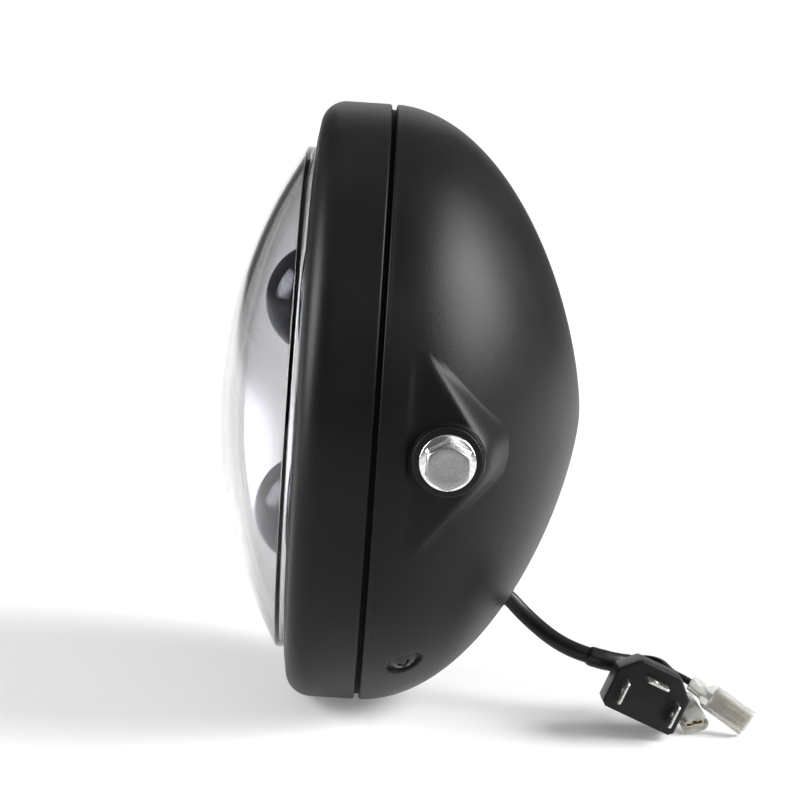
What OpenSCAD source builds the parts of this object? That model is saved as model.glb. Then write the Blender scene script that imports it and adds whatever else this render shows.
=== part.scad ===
// Round motorcycle headlight with a deep pressed-steel bucket, a trim ring, a clear domed lens over two
// projectors, side mounting bolts and a short lead with a three-blade plug and two spade connectors.
// The lamp's axis is Y: the lens faces -Y and the bucket's back faces +Y. Z is up. The origin is the middle
// of the line through the two side bolts. Along the axis, places are given as millimetres behind the seam
// between the trim ring and the bucket, so a place ahead of the seam is negative.

/* [Bucket] */
// Outside diameter of the bucket and the trim ring where they meet
shell_d = 200; // [190:1:215]
// Depth of the bucket behind the seam
bucket_depth = 69; // [66:1:76]
// Bluntness of the bucket's back: a low value is blunt and a high one is pointed
bucket_power = 0.66; // [0.6:0.02:0.7]
// Thickness of the bucket's pressed sheet
sheet = 1.2; // [0.9:0.1:1.5]
// Gap that shows at the seam
seam_gap = 1.5; // [1:0.1:2]
// Length of the bucket's neck, which reaches forward inside the trim ring
neck_len = 8; // [6:0.5:9]
// Distance from the seam back to the line through the side bolts
bolt_back = 22.5; // [20:0.5:24]

/* [Side bosses] */
// Distance from the seam back to the crease where a boss leaves the bucket's curve
boss_front = 13; // [12:0.5:14]
// Half the height of a boss, from the bolt to its pointed tip
boss_half_h = 33; // [28:1:36]
// Radius of the boss's round end about the bolt
boss_round = 13; // [12.5:0.5:15]
// How much wider the boss's wall is at its foot than at its face
boss_draft = 4; // [2:0.5:5]
// Height of the flat seat above the boss's face
seat_lift = 0.8; // [0.6:0.1:1.2]

/* [Trim ring] */
// Depth of the trim ring from the seam to its front
ring_depth = 24.8; // [23.5:0.1:26]
// Radius of the ring's rounded front corner
ring_corner = 8.5; // [7:0.5:9.5]
// Thickness of the ring's pressed sheet
ring_sheet = 1.5; // [1.2:0.1:1.8]
// Width of the ring's face, from its outside to the opening that the lens looks through
face_width = 14.5; // [14:0.1:16]

/* [Lamp unit] */
// Space between the lamp unit's flange and the trim ring's inside
unit_space = 9.5; // [9:0.1:10.5]
// Flatness of the lens: the radius of its outer surface as a multiple of its rim's radius
lens_flatness = 1.9; // [1.85:0.01:2]
// How far the lens's rim stands ahead of the ring's face
lens_stand = 3; // [2:0.1:4]
// Thickness of the lens's wall
lens_wall = 2.6; // [2:0.1:3]
// Thickness of the housing's wall
housing_wall = 3; // [2.5:0.1:3.5]
// Number of cooling fins on the housing's back
fin_count = 13; // [9:2:15]
// Thickness of a cooling fin
fin_t = 2.2; // [1.8:0.1:2.6]
// Length of the cooling fins behind the housing's back
fin_len = 18; // [12:1:20]

/* [Projectors] */
// Height of each projector's centre above or below the lamp's axis, as a share of the lens's radius
projector_share = 0.428; // [0.41:0.002:0.44]
// Diameter of a projector's glass, as a share of the lens's radius
glass_share = 0.44; // [0.42:0.005:0.45]
// Height of the glass's dome, as a share of its diameter
glass_bulge = 0.38; // [0.34:0.01:0.4]
// How far the glass's apex is behind the lens's apex
glass_behind = 12.8; // [12:0.1:14]
// Width of the collar round the glass
collar_w = 2.2; // [1.8:0.1:2.6]

/* [Fasteners] */
// Diameter of the side bolts' thread
bolt_d = 8; // [6:1:8]
// Width across the flats of the side bolts' heads
bolt_af = 13; // [11:0.5:14]
// Diameter of the side bolts' flanges
bolt_flange_d = 17.6; // [16.5:0.1:18.5]
// Length of the side bolts below their flanges
bolt_len = 16; // [14:1:20]
// Diameter of the black washers under the side bolts
washer_d = 21.8; // [20:0.2:24]
// Thickness of the black washers
washer_t = 2.2; // [1.6:0.1:2.6]
// Distance of the ring screws behind the seam
screw_back = 14.7; // [13:0.1:16]
// Angle of the ring screws below the horizontal
screw_angle = 49.3; // [44:0.1:56]
// Diameter of the ring screws' heads
screw_head_d = 9.4; // [8.6:0.1:10]
// Diameter of the ring screws' thread
screw_d = 5; // [4:0.5:5]

/* [Lead] */
// Diameter of the lead's black sheath
sheath_d = 5.6; // [5:0.1:6]
// Diameter of the shrink sleeve over the end of the sheath
sleeve_d = 6.9; // [6.4:0.1:7.2]
// Diameter of one insulated wire
wire_d = 2.4; // [2:0.1:2.6]

/* [Plug and spades] */
// Width of the plug's face
plug_w = 26; // [25:0.5:27]
// Height of the plug's face
plug_h = 19; // [18:0.5:20]
// Depth of the plug's body
plug_depth = 20; // [18:0.5:22]
// Size of the chamfers at the plug's upper corners
plug_chamfer = 5.6; // [4:0.2:6]
// Width of a blade
blade_w = 8; // [7.6:0.1:8.2]
// Thickness of a blade
blade_t = 0.8; // [0.7:0.05:1]
// Length of a blade outside the plug
blade_len = 8.5; // [7:0.5:10]
// Width of a spade connector's sleeve
spade_w = 9.2; // [8.8:0.1:10]
// Thickness of a spade connector's sleeve
spade_t = 5.4; // [5:0.1:6]
// Length of the flat part of a spade connector's sleeve
spade_len = 15.5; // [14:0.5:17]

/* [Hidden] */

turn_fn = 96;
small_fn = 32;
fit_gap = 0.3;

shell_r = shell_d / 2;
seam_half = seam_gap / 2;
edge_r = 0.9;

// The bucket's outline is r = R (cos t)^(2p), a = depth sin t, and a wall's thickness is laid off along the
// outline's own normal.
curve_steps = 22;
function bucket_r(a) = shell_r * pow(1 - pow(a / bucket_depth, 2), bucket_power);
function bucket_slope(a) =
    -shell_r * bucket_power * 2 * a / pow(bucket_depth, 2)
        * pow(1 - pow(a / bucket_depth, 2), bucket_power - 1);
function bucket_tilt(a) = atan(-bucket_slope(a));
function wall_point(a, inset) =
    [bucket_r(a) - inset * cos(bucket_tilt(a)), a - inset * sin(bucket_tilt(a))];
function arc(cx, cy, r, from, to, n) =
    [for (i = [0 : n]) let (t = from + (to - from) * i / n) [cx + r * cos(t), cy + r * sin(t)]];

// The boss's face goes straight back from the bucket's own radius at the boss's front crease.
boss_r = bucket_r(boss_front);
seat_x = boss_r + seat_lift;
seat_d = washer_d + 1;
seat_wall = sheet + 0.3;
boss_tip_r = 1.5;
boss_foot_x = boss_r - 25;

ring_r = shell_r;
ring_in = ring_r - ring_sheet;
opening_r = ring_r - face_width;
ring_face_rise = 0.8;
ring_corner_front = ring_depth - ring_face_rise;
lip_back = ring_depth - 4.6;

neck_r = ring_in - fit_gap;
neck_in = neck_r - sheet;

// The lamp unit's flange is clamped between the gasket and the clamp ring.
unit_r = ring_in - unit_space;
gasket_t = 1.2;
flange_front = lip_back - gasket_t;
flange_back = lip_back - 8.2;
lens_flange_t = 3;
housing_front = flange_front - lens_flange_t;
skirt_gap = 1.3;
skirt_r = opening_r - skirt_gap;
skirt_in = skirt_r - lens_wall;
dome_r = skirt_r * lens_flatness;
apex = ring_depth + lens_stand + dome_r - sqrt(dome_r * dome_r - skirt_r * skirt_r);
function dome_a(r, rad, tip) = -tip + rad - sqrt(rad * rad - r * r);

clamp_t = 1.4;
post_d = 7;
post_gap = 0.5;
post_r = unit_r + post_gap + post_d / 2;
tapped_len = 7;
clamp_screw_d = 4;
clamp_count = 4;
clamp_turn = 15;
clamp_ring_r = ring_in - 1.7;
clamp_head_d = 7;
clamp_head_h = 2.4;
clamp_screw_len = 6.4;

// The housing behind the flange: its wall tapers from the rim to the floor.
floor_a = 11;
housing_back = floor_a + housing_wall;
housing_rim_r = skirt_in - 2.6;
housing_neck_r = housing_rim_r + housing_wall + 1.5;
clamp_ring_in = housing_neck_r + 1;
housing_floor_r = housing_rim_r - 13;
fin_r = housing_floor_r - 6;
fin_pitch = 2 * fin_r / (fin_count + 2);
neck_h = 4;
gland_h = 3.5;

// The bezel closes the unit's front round the two projectors.
plate_a = -ring_depth + 7.8;
plate_t = 2;
bezel_r = skirt_in - 0.6;
guide_r = skirt_in - 1;
guide_in = guide_r - 4;
bezel_rib = 1.6;
bezel_post_d = 7;
guide_front = ring_depth + 0.8;
guide_back = guide_front - 5.6;
guide_board_t = 1;

projector_z = projector_share * skirt_r;
// Both projectors sit this much below the places that mirror each other about the lamp's axis.
projector_drop = 2.5;
glass_d = glass_share * skirt_r;
glass_rise = glass_bulge * glass_d;
glass_front = apex - glass_behind;
glass_r = glass_d / 2;
glass_edge_t = 2.4;
glass_edge_a = -glass_front + glass_rise;
glass_back_a = glass_edge_a + glass_edge_t;
glass_ball_r = (glass_r * glass_r + glass_rise * glass_rise) / (2 * glass_rise);
collar_in = glass_r + fit_gap;
collar_r = collar_in + collar_w;
collar_flange_r = collar_r + 4;
collar_back = plate_a + plate_t + 2;
collar_front = glass_edge_a - 3.2;
seat_in = glass_r - 2;
bowl_wall = 1.2;
bowl_back = 9;
bowl_small_r = 8;
led_board_t = 1.6;
led_board_w = 22;
led_w = 7;
led_h = 0.8;
plate_r = projector_z + collar_r + 7;
bezel_post_x = plate_r - 20;
driver_w = 2 * (bezel_post_x - 12);
driver_h = 28;
driver_t = 1.6;

flange_t = 1.6;
flange_cone = 0.6;
head_h = 7.4;
bolt_seat = seat_x + washer_t;
bolt_top = bolt_seat + flange_t + flange_cone + head_h;
nut_h = 6.5;
nut_af = 14;
hole_slack = 0.6;
thread_slack = 0.1;

dimple_d = screw_head_d + 2.2;
dimple_depth = 1.6;
screw_head_h = 2.2;
screw_len = 12;
tab_t = 1.5;
tab_angle = 9;
tab_reach = 6.5;
tab_foot = 5;
screw_tilt = bucket_tilt(screw_back);
ring_nut_h = 4;
ring_nut_af = 8;
tab_seat = 0.15;
gland_r = 6;
post_slack = 0.05;
grommet_seat = 0.25;

// The lead's route by hand, from the bucket's wall to the plug: x, y and the height above what the lamp
// stands on. Inside the bucket the height is a share of the drop to the hole, and outside, of the drop to
// the sleeve. Beyond the bucket the lead swings out to the lamp's right, so all that hangs on it lies aside.
tail_aside = 18;
function above_floor(p) = p + [tail_aside, 0, -shell_r];
exit_back = 48.5;
exit_tilt = bucket_tilt(exit_back);
exit_point = [0, exit_back - bolt_back, -bucket_r(exit_back)];
exit_dir = [0, sin(exit_tilt), -cos(exit_tilt)];
function out_of_exit(h) = exit_point + exit_dir * h;
grommet_lip = 0.8;
grommet_r = 6.4;
grommet_hole_r = 4.6;
grommet_in = 2;
lead_start = -sheet - grommet_in;
inner_route = [for (p = [[19, 0], [24, 0.016], [28, 0.095], [29, 0.238], [27, 0.413], [24, 0.588],
        [21, 0.731], [19.5, 0.842]])
    [0, p[0], p[1] * exit_point[2]]];
sleeve_start = above_floor([-6, 55, 20]);
sheath_route = [for (p = [[0.5, 31, 0.26], [2.6, 36, 0.506], [6.2, 42, 0.735], [9.8, 48.5, 0.9]])
    [p[0], p[1], exit_point[2] + p[2] * (sleeve_start[2] - exit_point[2])]];
sleeve_start_dir = unit([1.2, 6.1, -1.6]);
sleeve_route = [above_floor([-5.6, 61, 18.7]), above_floor([-6.8, 66, 17.7])];
sleeve_end = above_floor([-9.5, 70, 16.8]);
sleeve_end_dir = unit([-1.9, 4, -0.9]);

// Where the plug lies: the middle of its face, and how it is rolled and pitched. A point given in the plug's
// own frame is turned the same way.
plug_face = above_floor([23.5, 73.1, 14.1]);
plug_roll = 22;
plug_pitch = 4;
function plug_point(v) =
    let (x = v[0] * cos(plug_pitch) - v[2] * sin(plug_pitch),
        z = v[0] * sin(plug_pitch) + v[2] * cos(plug_pitch))
    plug_face + [x, v[1] * cos(plug_roll) + z * sin(plug_roll), -v[1] * sin(plug_roll) + z * cos(plug_roll)];

// The four wires leave the sleeve's end side by side, two above two.
wire_spread = 1.4;
across = unit(cross(sleeve_end_dir, [0, 0, 1]));
function wire_start(side, level) =
    sleeve_end + wire_spread * (side * across - level * cross(sleeve_end_dir, across));
function wire_route(start, rest) = concat([start], [for (p = rest) above_floor(p)]);
plug_wire_routes = [
    concat(wire_route(wire_start(1, 1), [[-8.6, 73, 18], [-7.8, 75.2, 17.8], [-6, 76.8, 17.5],
        [-3.7, 77.4, 17.3]]), [plug_point([-plug_depth, 3, 6])]),
    concat(wire_route(wire_start(1, -1), [[-8.6, 72.7, 14.6], [-7.8, 74.8, 13.8], [-6, 76.2, 13],
        [-3.7, 76.6, 12.3]]), [plug_point([-plug_depth, 3.5, 0.4])])
];
upper_wire_route = wire_route(wire_start(-1, 1), [[-11.8, 74, 18.5], [-10.6, 78, 18.6], [-7.2, 80.6, 18.4],
    [-2.8, 81.8, 18.1], [1, 83.6, 17.4], [2.7, 86.4, 16.5], [3.5, 89.2, 15.2]]);
lower_wire_route = wire_route(wire_start(-1, -1), [[-12.6, 73.6, 14.4], [-14.2, 77.6, 13.4],
    [-14.8, 81.4, 12.4], [-13.6, 83.6, 11.2], [-11, 84.4, 10.6], [-7.9, 85.1, 9.7]]);

plug_low = plug_h * 0.43;
plug_foot_chamfer = 1.4;
blade_root = 5;
side_blade_y = 9.2;
side_blade_z = -0.8;
top_blade_z = 6.4;
blade_hole_d = 1.8;
blade_point = 1;
pocket_slack = 0.05;

spade_wall = 0.7;
spade_neck_d = 5.4;
spade_neck_len = 5;
spade_shoulder = 3;
spade_mouth_depth = 1.5;
terminal_w = 6.9;
terminal_t = 2.2;
terminal_len = 13;
terminal_slot = 0.9;
upper_spade_turn = [72, 27, 66];
lower_spade_turn = [16, 15.7, 15];

// Puts a shape drawn about Z, with the seam at zero, onto the lamp's axis.
module on_axis() {
    translate([0, -bolt_back, 0]) rotate([-90, 0, 0]) children();
}

// Turns an outline given as radius and distance behind the seam about the lamp's axis.
module turned(outline, fn = turn_fn) {
    on_axis() rotate_extrude($fn = fn) polygon(outline);
}

// A ring of rectangular section between two radii and two distances behind the seam.
module turned_band(r_in, r_out, from, to, fn = turn_fn) {
    turned([[r_in, from], [r_out, from], [r_out, to], [r_in, to]], fn);
}

// Places a child, drawn up the Z axis, on the upper or lower projector's axis, pointing to the back.
module at_projector(side) {
    translate([0, 0, side * projector_z - projector_drop]) on_axis() children();
}

// A rod along X between two distances from the middle plane.
module along_x(from, to, d, fn = 64) {
    translate([from, 0, 0]) rotate([0, 90, 0]) cylinder(h = to - from, d = d, $fn = fn);
}

// Puts a shape drawn up the Z axis at the lead's hole, with Z pointing out of the bucket.
module at_exit() {
    translate(exit_point) rotate([180 + exit_tilt, 0, 0]) children();
}

// Puts a shape drawn up the Z axis at a ring screw, with Z along the bucket's normal.
module at_screw(side) {
    mirror([side < 0 ? 1 : 0, 0, 0])
        rotate([0, screw_angle, 0])
            translate([bucket_r(screw_back), screw_back - bolt_back, 0])
                rotate([0, 0, screw_tilt])
                    rotate([0, 90, 0])
                        children();
}

// A tube swept along points: each ring stands square to the route where it passes.
function unit(v) = v / norm(v);
function heading(p, i) = unit(p[min(i + 1, len(p) - 1)] - p[max(i - 1, 0)]);
function ring_at(c, dir, r, sides, side_ref) =
    let (u = unit(cross(dir, side_ref)), v = cross(dir, u))
    [for (k = [0 : sides - 1]) c + r * (cos(360 * k / sides) * u + sin(360 * k / sides) * v)];

module swept_tube(route, d, sides, side_ref, first_dir, last_dir) {
    count = len(route);
    points = [for (i = [0 : count - 1])
        each ring_at(route[i], i == 0 ? first_dir : i == count - 1 ? last_dir : heading(route, i),
            d / 2, sides, side_ref)];
    walls = [for (i = [0 : count - 2], k = [0 : sides - 1])
        let (a = i * sides + k, b = i * sides + (k + 1) % sides)
        each [[a, a + sides, b + sides], [a, b + sides, b]]];
    near_end = [for (k = [0 : sides - 1]) k];
    far_end = [for (k = [sides - 1 : -1 : 0]) (count - 1) * sides + k];
    polyhedron(points = points, faces = concat(walls, [near_end, far_end]));
}

// The leaf-shaped boss as a block: the round end about the bolt and the two tips, wider at its foot, cut to
// the cylinder that its face lies on. Inset makes the same block smaller all round, for the inside.
module boss_block(inset) {
    intersection() {
        on_axis() translate([0, 0, -neck_len]) cylinder(h = bucket_depth, r = boss_r - inset, $fn = turn_fn);
        hull() {
            for (step = [[boss_r + 1, 0], [boss_foot_x, boss_draft]]) {
                along_x(step[0] - 0.1, step[0], 2 * (boss_round + step[1] - inset), small_fn);
                for (side = [-1, 1])
                    translate([0, boss_front - bolt_back + boss_tip_r, side * (boss_half_h - boss_tip_r)])
                        along_x(step[0] - 0.1, step[0], 2 * (boss_tip_r + step[1] * 0.3), 16);
            }
        }
    }
}

// The pressed steel bucket: a wall of even thickness, hollow bosses with flat seats, sunk cups for the ring
// screws and a round hole for the lead's grommet.
module bucket() {
    steps = [for (i = [1 : curve_steps - 1]) bucket_depth * sin(90 * i / curve_steps)];
    outer = concat(
        [[0, -neck_len], [neck_r, -neck_len], [neck_r, seam_half]],
        arc(shell_r - edge_r, seam_half + edge_r, edge_r, -90, 0, 4),
        [for (a = steps) if (a > seam_half + edge_r) wall_point(a, 0)],
        [[0, bucket_depth]]);
    inner = concat(
        [[0, -neck_len - 1], [neck_in, -neck_len - 1], [neck_in, seam_half + sheet]],
        [for (a = steps) if (a > seam_half + 2 * sheet) wall_point(a, sheet)],
        [[0, bucket_depth - sheet]]);
    color([0.09, 0.09, 0.095])
    difference() {
        union() {
            difference() {
                union() {
                    turned(outer);
                    for (side = [0, 1])
                        mirror([side, 0, 0]) {
                            boss_block(0);
                            along_x(boss_foot_x, seat_x, seat_d);
                        }
                }
                turned(inner);
                for (side = [0, 1])
                    mirror([side, 0, 0]) {
                        boss_block(sheet);
                        along_x(boss_foot_x - 1, seat_x - seat_wall, seat_d - 2 * sheet);
                    }
            }
            for (side = [-1, 1])
                at_screw(side)
                    translate([0, 0, -dimple_depth - sheet])
                        cylinder(h = dimple_depth + 0.2, d = dimple_d + 2 * sheet, $fn = 48);
        }
        for (side = [0, 1])
            mirror([side, 0, 0])
                along_x(boss_foot_x, seat_x + 1, bolt_d + hole_slack);
        for (side = [-1, 1])
            at_screw(side) {
                translate([0, 0, -dimple_depth]) cylinder(h = 5, d = dimple_d, $fn = 48);
                translate([0, 0, -dimple_depth - 3])
                    cylinder(h = 6, d = screw_d + hole_slack, $fn = small_fn);
            }
        at_exit() translate([0, 0, -8]) cylinder(h = 16, r = grommet_hole_r, $fn = 48);
    }
}

// The pressed trim ring: a short drum, a rounded front corner, a face that cones gently forward and a rolled
// lip that presses on the gasket.
module trim_ring() {
    corner_r = ring_r - ring_corner;
    corner_a = -ring_corner_front + ring_corner;
    roll = 1.6;
    outline = concat(
        [[ring_in, -seam_half]],
        arc(ring_r - edge_r, -seam_half - edge_r, edge_r, 90, 0, 4),
        arc(corner_r, corner_a, ring_corner, 0, -82, 10),
        arc(opening_r + roll, -ring_depth + roll, roll, -90, -180, 6),
        [[opening_r, -lip_back], [opening_r + ring_sheet, -lip_back],
            [opening_r + ring_sheet, -ring_depth + ring_sheet + 0.6]],
        arc(corner_r, corner_a, ring_corner - ring_sheet, -80, 0, 8));
    color([0.09, 0.09, 0.095]) turned(outline);
}

// Puts a shape drawn up the Z axis at each clamp screw, with the seam at zero and Z to the back.
module at_clamps() {
    for (i = [0 : clamp_count - 1])
        rotate([0, clamp_turn + 360 * i / clamp_count, 0])
            translate([post_r, 0, 0])
                on_axis()
                    children();
}

// Four posts welded behind the ring's face, shaped to its inside and tapped for the clamp screws.
module clamp_posts() {
    corner_in = ring_corner - ring_sheet - post_slack;
    color([0.6, 0.6, 0.62])
    difference() {
        intersection() {
            at_clamps()
                translate([0, 0, -ring_depth])
                    cylinder(h = ring_depth - flange_back, d = post_d, $fn = small_fn);
            turned(concat([[0, -flange_back], [0, -ring_corner_front + ring_sheet + post_slack]],
                arc(ring_r - ring_corner, -ring_corner_front + ring_corner, corner_in, -90, 0, 8),
                [[ring_in - post_slack, -flange_back]]));
        }
        at_clamps()
            translate([0, 0, -flange_back - tapped_len])
                cylinder(h = tapped_len + 1, d = clamp_screw_d + thread_slack, $fn = small_fn);
    }
}

// The flat ring that clamps the lamp unit's flange against the trim ring.
module clamp_ring() {
    color([0.7, 0.7, 0.72])
    difference() {
        turned_band(clamp_ring_in, clamp_ring_r, -flange_back, -flange_back + clamp_t);
        at_clamps() translate([0, 0, -flange_back - 1])
            cylinder(h = clamp_t + 2, d = clamp_screw_d + hole_slack, $fn = small_fn);
    }
}

module clamp_screws() {
    color([0.75, 0.75, 0.77])
    at_clamps()
        translate([0, 0, -flange_back + clamp_t])
            pan_screw(clamp_screw_d, clamp_head_d, clamp_head_h, clamp_screw_len);
}

// A screw with a low domed head and a cross recess. Its shank points down and its head stands on z = 0.
module pan_screw(d, head_d, head_h, len) {
    dome = (head_d * head_d / 4 + head_h * head_h) / (2 * head_h);
    difference() {
        union() {
            translate([0, 0, -len]) cylinder(h = len + 0.2, d = d, $fn = small_fn);
            intersection() {
                cylinder(h = head_h, d = head_d, $fn = 48);
                translate([0, 0, head_h - dome]) sphere(r = dome, $fn = 64);
            }
        }
        for (turn = [0, 90])
            rotate([0, 0, turn])
                translate([-head_d * 0.27, -head_d * 0.05, head_h * 0.35])
                    cube([head_d * 0.54, head_d * 0.1, head_h]);
        translate([0, 0, head_h * 0.25]) cylinder(h = head_h, d = head_d * 0.2, $fn = small_fn);
    }
}

// Spring-steel tabs from the trim ring's inside to the ring screws, bent to follow the bucket's wall.
module ring_tabs() {
    seat = wall_point(screw_back, dimple_depth + sheet);
    foot_to = -neck_len - 0.4;
    out = [cos(screw_tilt), sin(screw_tilt)];
    along = [out[1], -out[0]];
    under_neck = neck_in - fit_gap;
    bend = seat + tab_reach * along;
    outer = [[ring_in, foot_to - tab_foot], [ring_in, foot_to - 1.2], [under_neck, foot_to],
        [under_neck, seam_half + sheet], bend, seat - tab_reach * along];
    inner = [seat - tab_reach * along - tab_t * out, bend - tab_t * out,
        [under_neck - tab_t, seam_half + sheet - 0.3], [under_neck - tab_t, foot_to - 0.6],
        [ring_in - tab_t, foot_to - 1.8], [ring_in - tab_t, foot_to - tab_foot]];
    color([0.6, 0.6, 0.62])
    for (side = [-1, 1])
        difference() {
            mirror([side < 0 ? 1 : 0, 0, 0])
                rotate([0, screw_angle - tab_angle / 2, 0])
                    on_axis()
                        rotate_extrude(angle = tab_angle, $fn = turn_fn)
                            polygon(concat(outer, inner));
            at_screw(side)
                translate([0, 0, -12]) cylinder(h = 12, d = screw_d + hole_slack, $fn = small_fn);
        }
}

module ring_nuts() {
    color([0.75, 0.75, 0.77])
    for (side = [-1, 1])
        at_screw(side)
            translate([0, 0, -dimple_depth - sheet - tab_t - tab_seat - ring_nut_h])
                difference() {
                    cylinder(h = ring_nut_h, d = ring_nut_af / cos(30), $fn = 6);
                    translate([0, 0, -1])
                        cylinder(h = ring_nut_h + 2, d = screw_d + thread_slack, $fn = small_fn);
                }
}

module ring_screws() {
    color([0.1, 0.1, 0.1])
    for (side = [-1, 1])
        at_screw(side)
            translate([0, 0, -dimple_depth])
                pan_screw(screw_d, screw_head_d, screw_head_h, screw_len);
}

// A flanged hexagon bolt along X with its shank inward: a coned flange, a corner of the hexagon pointing up
// and the head's top turned to a chamfer.
module flange_bolt() {
    flange_r = bolt_flange_d / 2;
    head_r = bolt_af / 2;
    corner = head_r / cos(30);
    color([0.8, 0.8, 0.82])
    translate([bolt_seat, 0, 0]) rotate([0, 90, 0])
        union() {
            translate([0, 0, -bolt_len]) cylinder(h = bolt_len + 0.1, d = bolt_d, $fn = small_fn);
            rotate_extrude($fn = 64)
                polygon([[0, 0], [flange_r - 0.3, 0], [flange_r, 0.4], [flange_r, flange_t - 0.4],
                    [flange_r - 0.4, flange_t], [head_r, flange_t + flange_cone],
                    [0, flange_t + flange_cone]]);
            intersection() {
                cylinder(h = flange_t + flange_cone + head_h, r = corner, $fn = 6);
                rotate_extrude($fn = 64)
                    polygon([[0, 0], [corner + 1, 0], [corner + 1, bolt_top - bolt_seat - 1.4],
                        [corner, bolt_top - bolt_seat - 0.9], [head_r * 0.92, bolt_top - bolt_seat],
                        [0, bolt_top - bolt_seat]]);
            }
        }
}

module mount_washer() {
    color([0.06, 0.06, 0.06])
    difference() {
        along_x(seat_x, bolt_seat, washer_d);
        along_x(seat_x - 1, bolt_seat + 1, bolt_d + hole_slack);
    }
}

module weld_nut() {
    inside = seat_x - seat_wall;
    color([0.6, 0.6, 0.62])
    difference() {
        translate([inside - nut_h, 0, 0]) rotate([0, 90, 0])
            cylinder(h = nut_h, d = nut_af / cos(30), $fn = 6);
        along_x(inside - nut_h - 1, inside + 1, bolt_d + thread_slack);
    }
}

module mount_bolt_right() { flange_bolt(); }
module mount_bolt_left() { mirror([1, 0, 0]) flange_bolt(); }
module mount_washer_right() { mount_washer(); }
module mount_washer_left() { mirror([1, 0, 0]) mount_washer(); }
module weld_nut_right() { weld_nut(); }
module weld_nut_left() { mirror([1, 0, 0]) weld_nut(); }

// The clear moulded lens: a domed wall of even thickness, a straight skirt and a flange.
module lens() {
    steps = 16;
    shoulder = 2.2;
    meet_r = skirt_r - shoulder * 0.6;
    dome_edge = dome_a(meet_r, dome_r, apex);
    inner_rad = dome_r - lens_wall;
    inner_edge = dome_a(skirt_in - 0.8, inner_rad, apex - lens_wall);
    outline = concat(
        [for (i = [0 : steps]) let (r = meet_r * i / steps) [r, dome_a(r, dome_r, apex)]],
        [[skirt_r - 0.3, dome_edge + 1], [skirt_r, dome_edge + shoulder], [skirt_r, -flange_front],
            [unit_r, -flange_front], [unit_r, -housing_front], [skirt_in, -housing_front],
            [skirt_in, inner_edge + 1.6]],
        [for (i = [steps : -1 : 0])
            let (r = (skirt_in - 0.8) * i / steps) [r, dome_a(r, inner_rad, apex - lens_wall)]]);
    color([0.85, 0.87, 0.9, 0.4]) turned(outline);
}

module lens_gasket() {
    color([0.05, 0.05, 0.05]) turned_band(skirt_r + fit_gap, unit_r, -lip_back, -flange_front);
}

// The clear ring that carries the running light round the lens's edge, and the thin board that feeds it.
module light_guide() {
    ridge = 1;
    color([0.95, 0.95, 0.97])
    turned([[guide_in, -guide_back - guide_board_t], [guide_r, -guide_back - guide_board_t],
        [guide_r, -guide_front + ridge], [guide_r - ridge, -guide_front], [guide_in + ridge, -guide_front],
        [guide_in, -guide_front + ridge]]);
}

module guide_board() {
    color([0.9, 0.9, 0.88])
    turned_band(guide_in, guide_r, -guide_back - guide_board_t, -guide_back);
}

// The black moulded bezel: a rim that carries the light guide, a coned wall and a plate with two holes.
module bezel() {
    rim_front = -guide_front + 1.4;
    guide_seat = guide_in - 0.1;
    color([0.12, 0.12, 0.13])
    difference() {
        union() {
            turned([[0, plate_a], [plate_r, plate_a], [guide_in - bezel_rib, rim_front],
                [guide_seat, rim_front], [guide_seat, -guide_back], [bezel_r, -guide_back],
                [bezel_r, -housing_front], [guide_in - bezel_rib, -housing_front],
                [plate_r, plate_a + plate_t], [0, plate_a + plate_t]]);
            for (side = [-1, 1])
                translate([side * bezel_post_x, 0, 0])
                    on_axis()
                        translate([0, 0, plate_a + plate_t - 0.1])
                            cylinder(h = floor_a - plate_a - plate_t + 0.1, d = bezel_post_d, $fn = small_fn);
        }
        for (side = [-1, 1])
            at_projector(side)
                translate([0, 0, plate_a - 1]) cylinder(h = plate_t + 2, r = collar_r + fit_gap, $fn = 64);
    }
}

// The die-cast housing: a flange, a tapering wall, a flat back with upright cooling fins and a neck for the
// lead's gland.
module lamp_housing() {
    outer = [[housing_rim_r, -housing_front], [unit_r, -housing_front], [unit_r, -flange_back],
        [housing_neck_r, -flange_back], [housing_neck_r - 1, -flange_back + 3],
        [housing_floor_r + housing_wall + 4, housing_back - 6],
        [housing_floor_r + housing_wall, housing_back], [0, housing_back], [0, floor_a],
        [housing_floor_r, floor_a], [housing_floor_r + 4.5, floor_a - 5], [housing_rim_r, -flange_back + 3]];
    color([0.72, 0.73, 0.75])
    difference() {
        union() {
            turned(outer);
            intersection() {
                union() for (i = [0 : fin_count - 1])
                    translate([(i - (fin_count - 1) / 2) * fin_pitch - fin_t / 2,
                            housing_back - bolt_back - 0.1, -fin_r])
                        cube([fin_t, fin_len + 0.1, 2 * fin_r]);
                on_axis() translate([0, 0, housing_back - 0.1])
                    cylinder(h = fin_len + 0.2, r1 = fin_r, r2 = fin_r - 8, $fn = turn_fn);
            }
            on_axis()
                translate([0, 0, housing_back - 0.1]) cylinder(h = neck_h + 0.1, r = gland_r + 4, $fn = 48);
        }
        on_axis()
            translate([0, 0, housing_back + neck_h]) cylinder(h = fin_len + 1, r = gland_r + 9, $fn = 48);
        on_axis() translate([0, 0, floor_a - 1]) cylinder(h = fin_len, r = gland_r, $fn = 48);
    }
}

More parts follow.
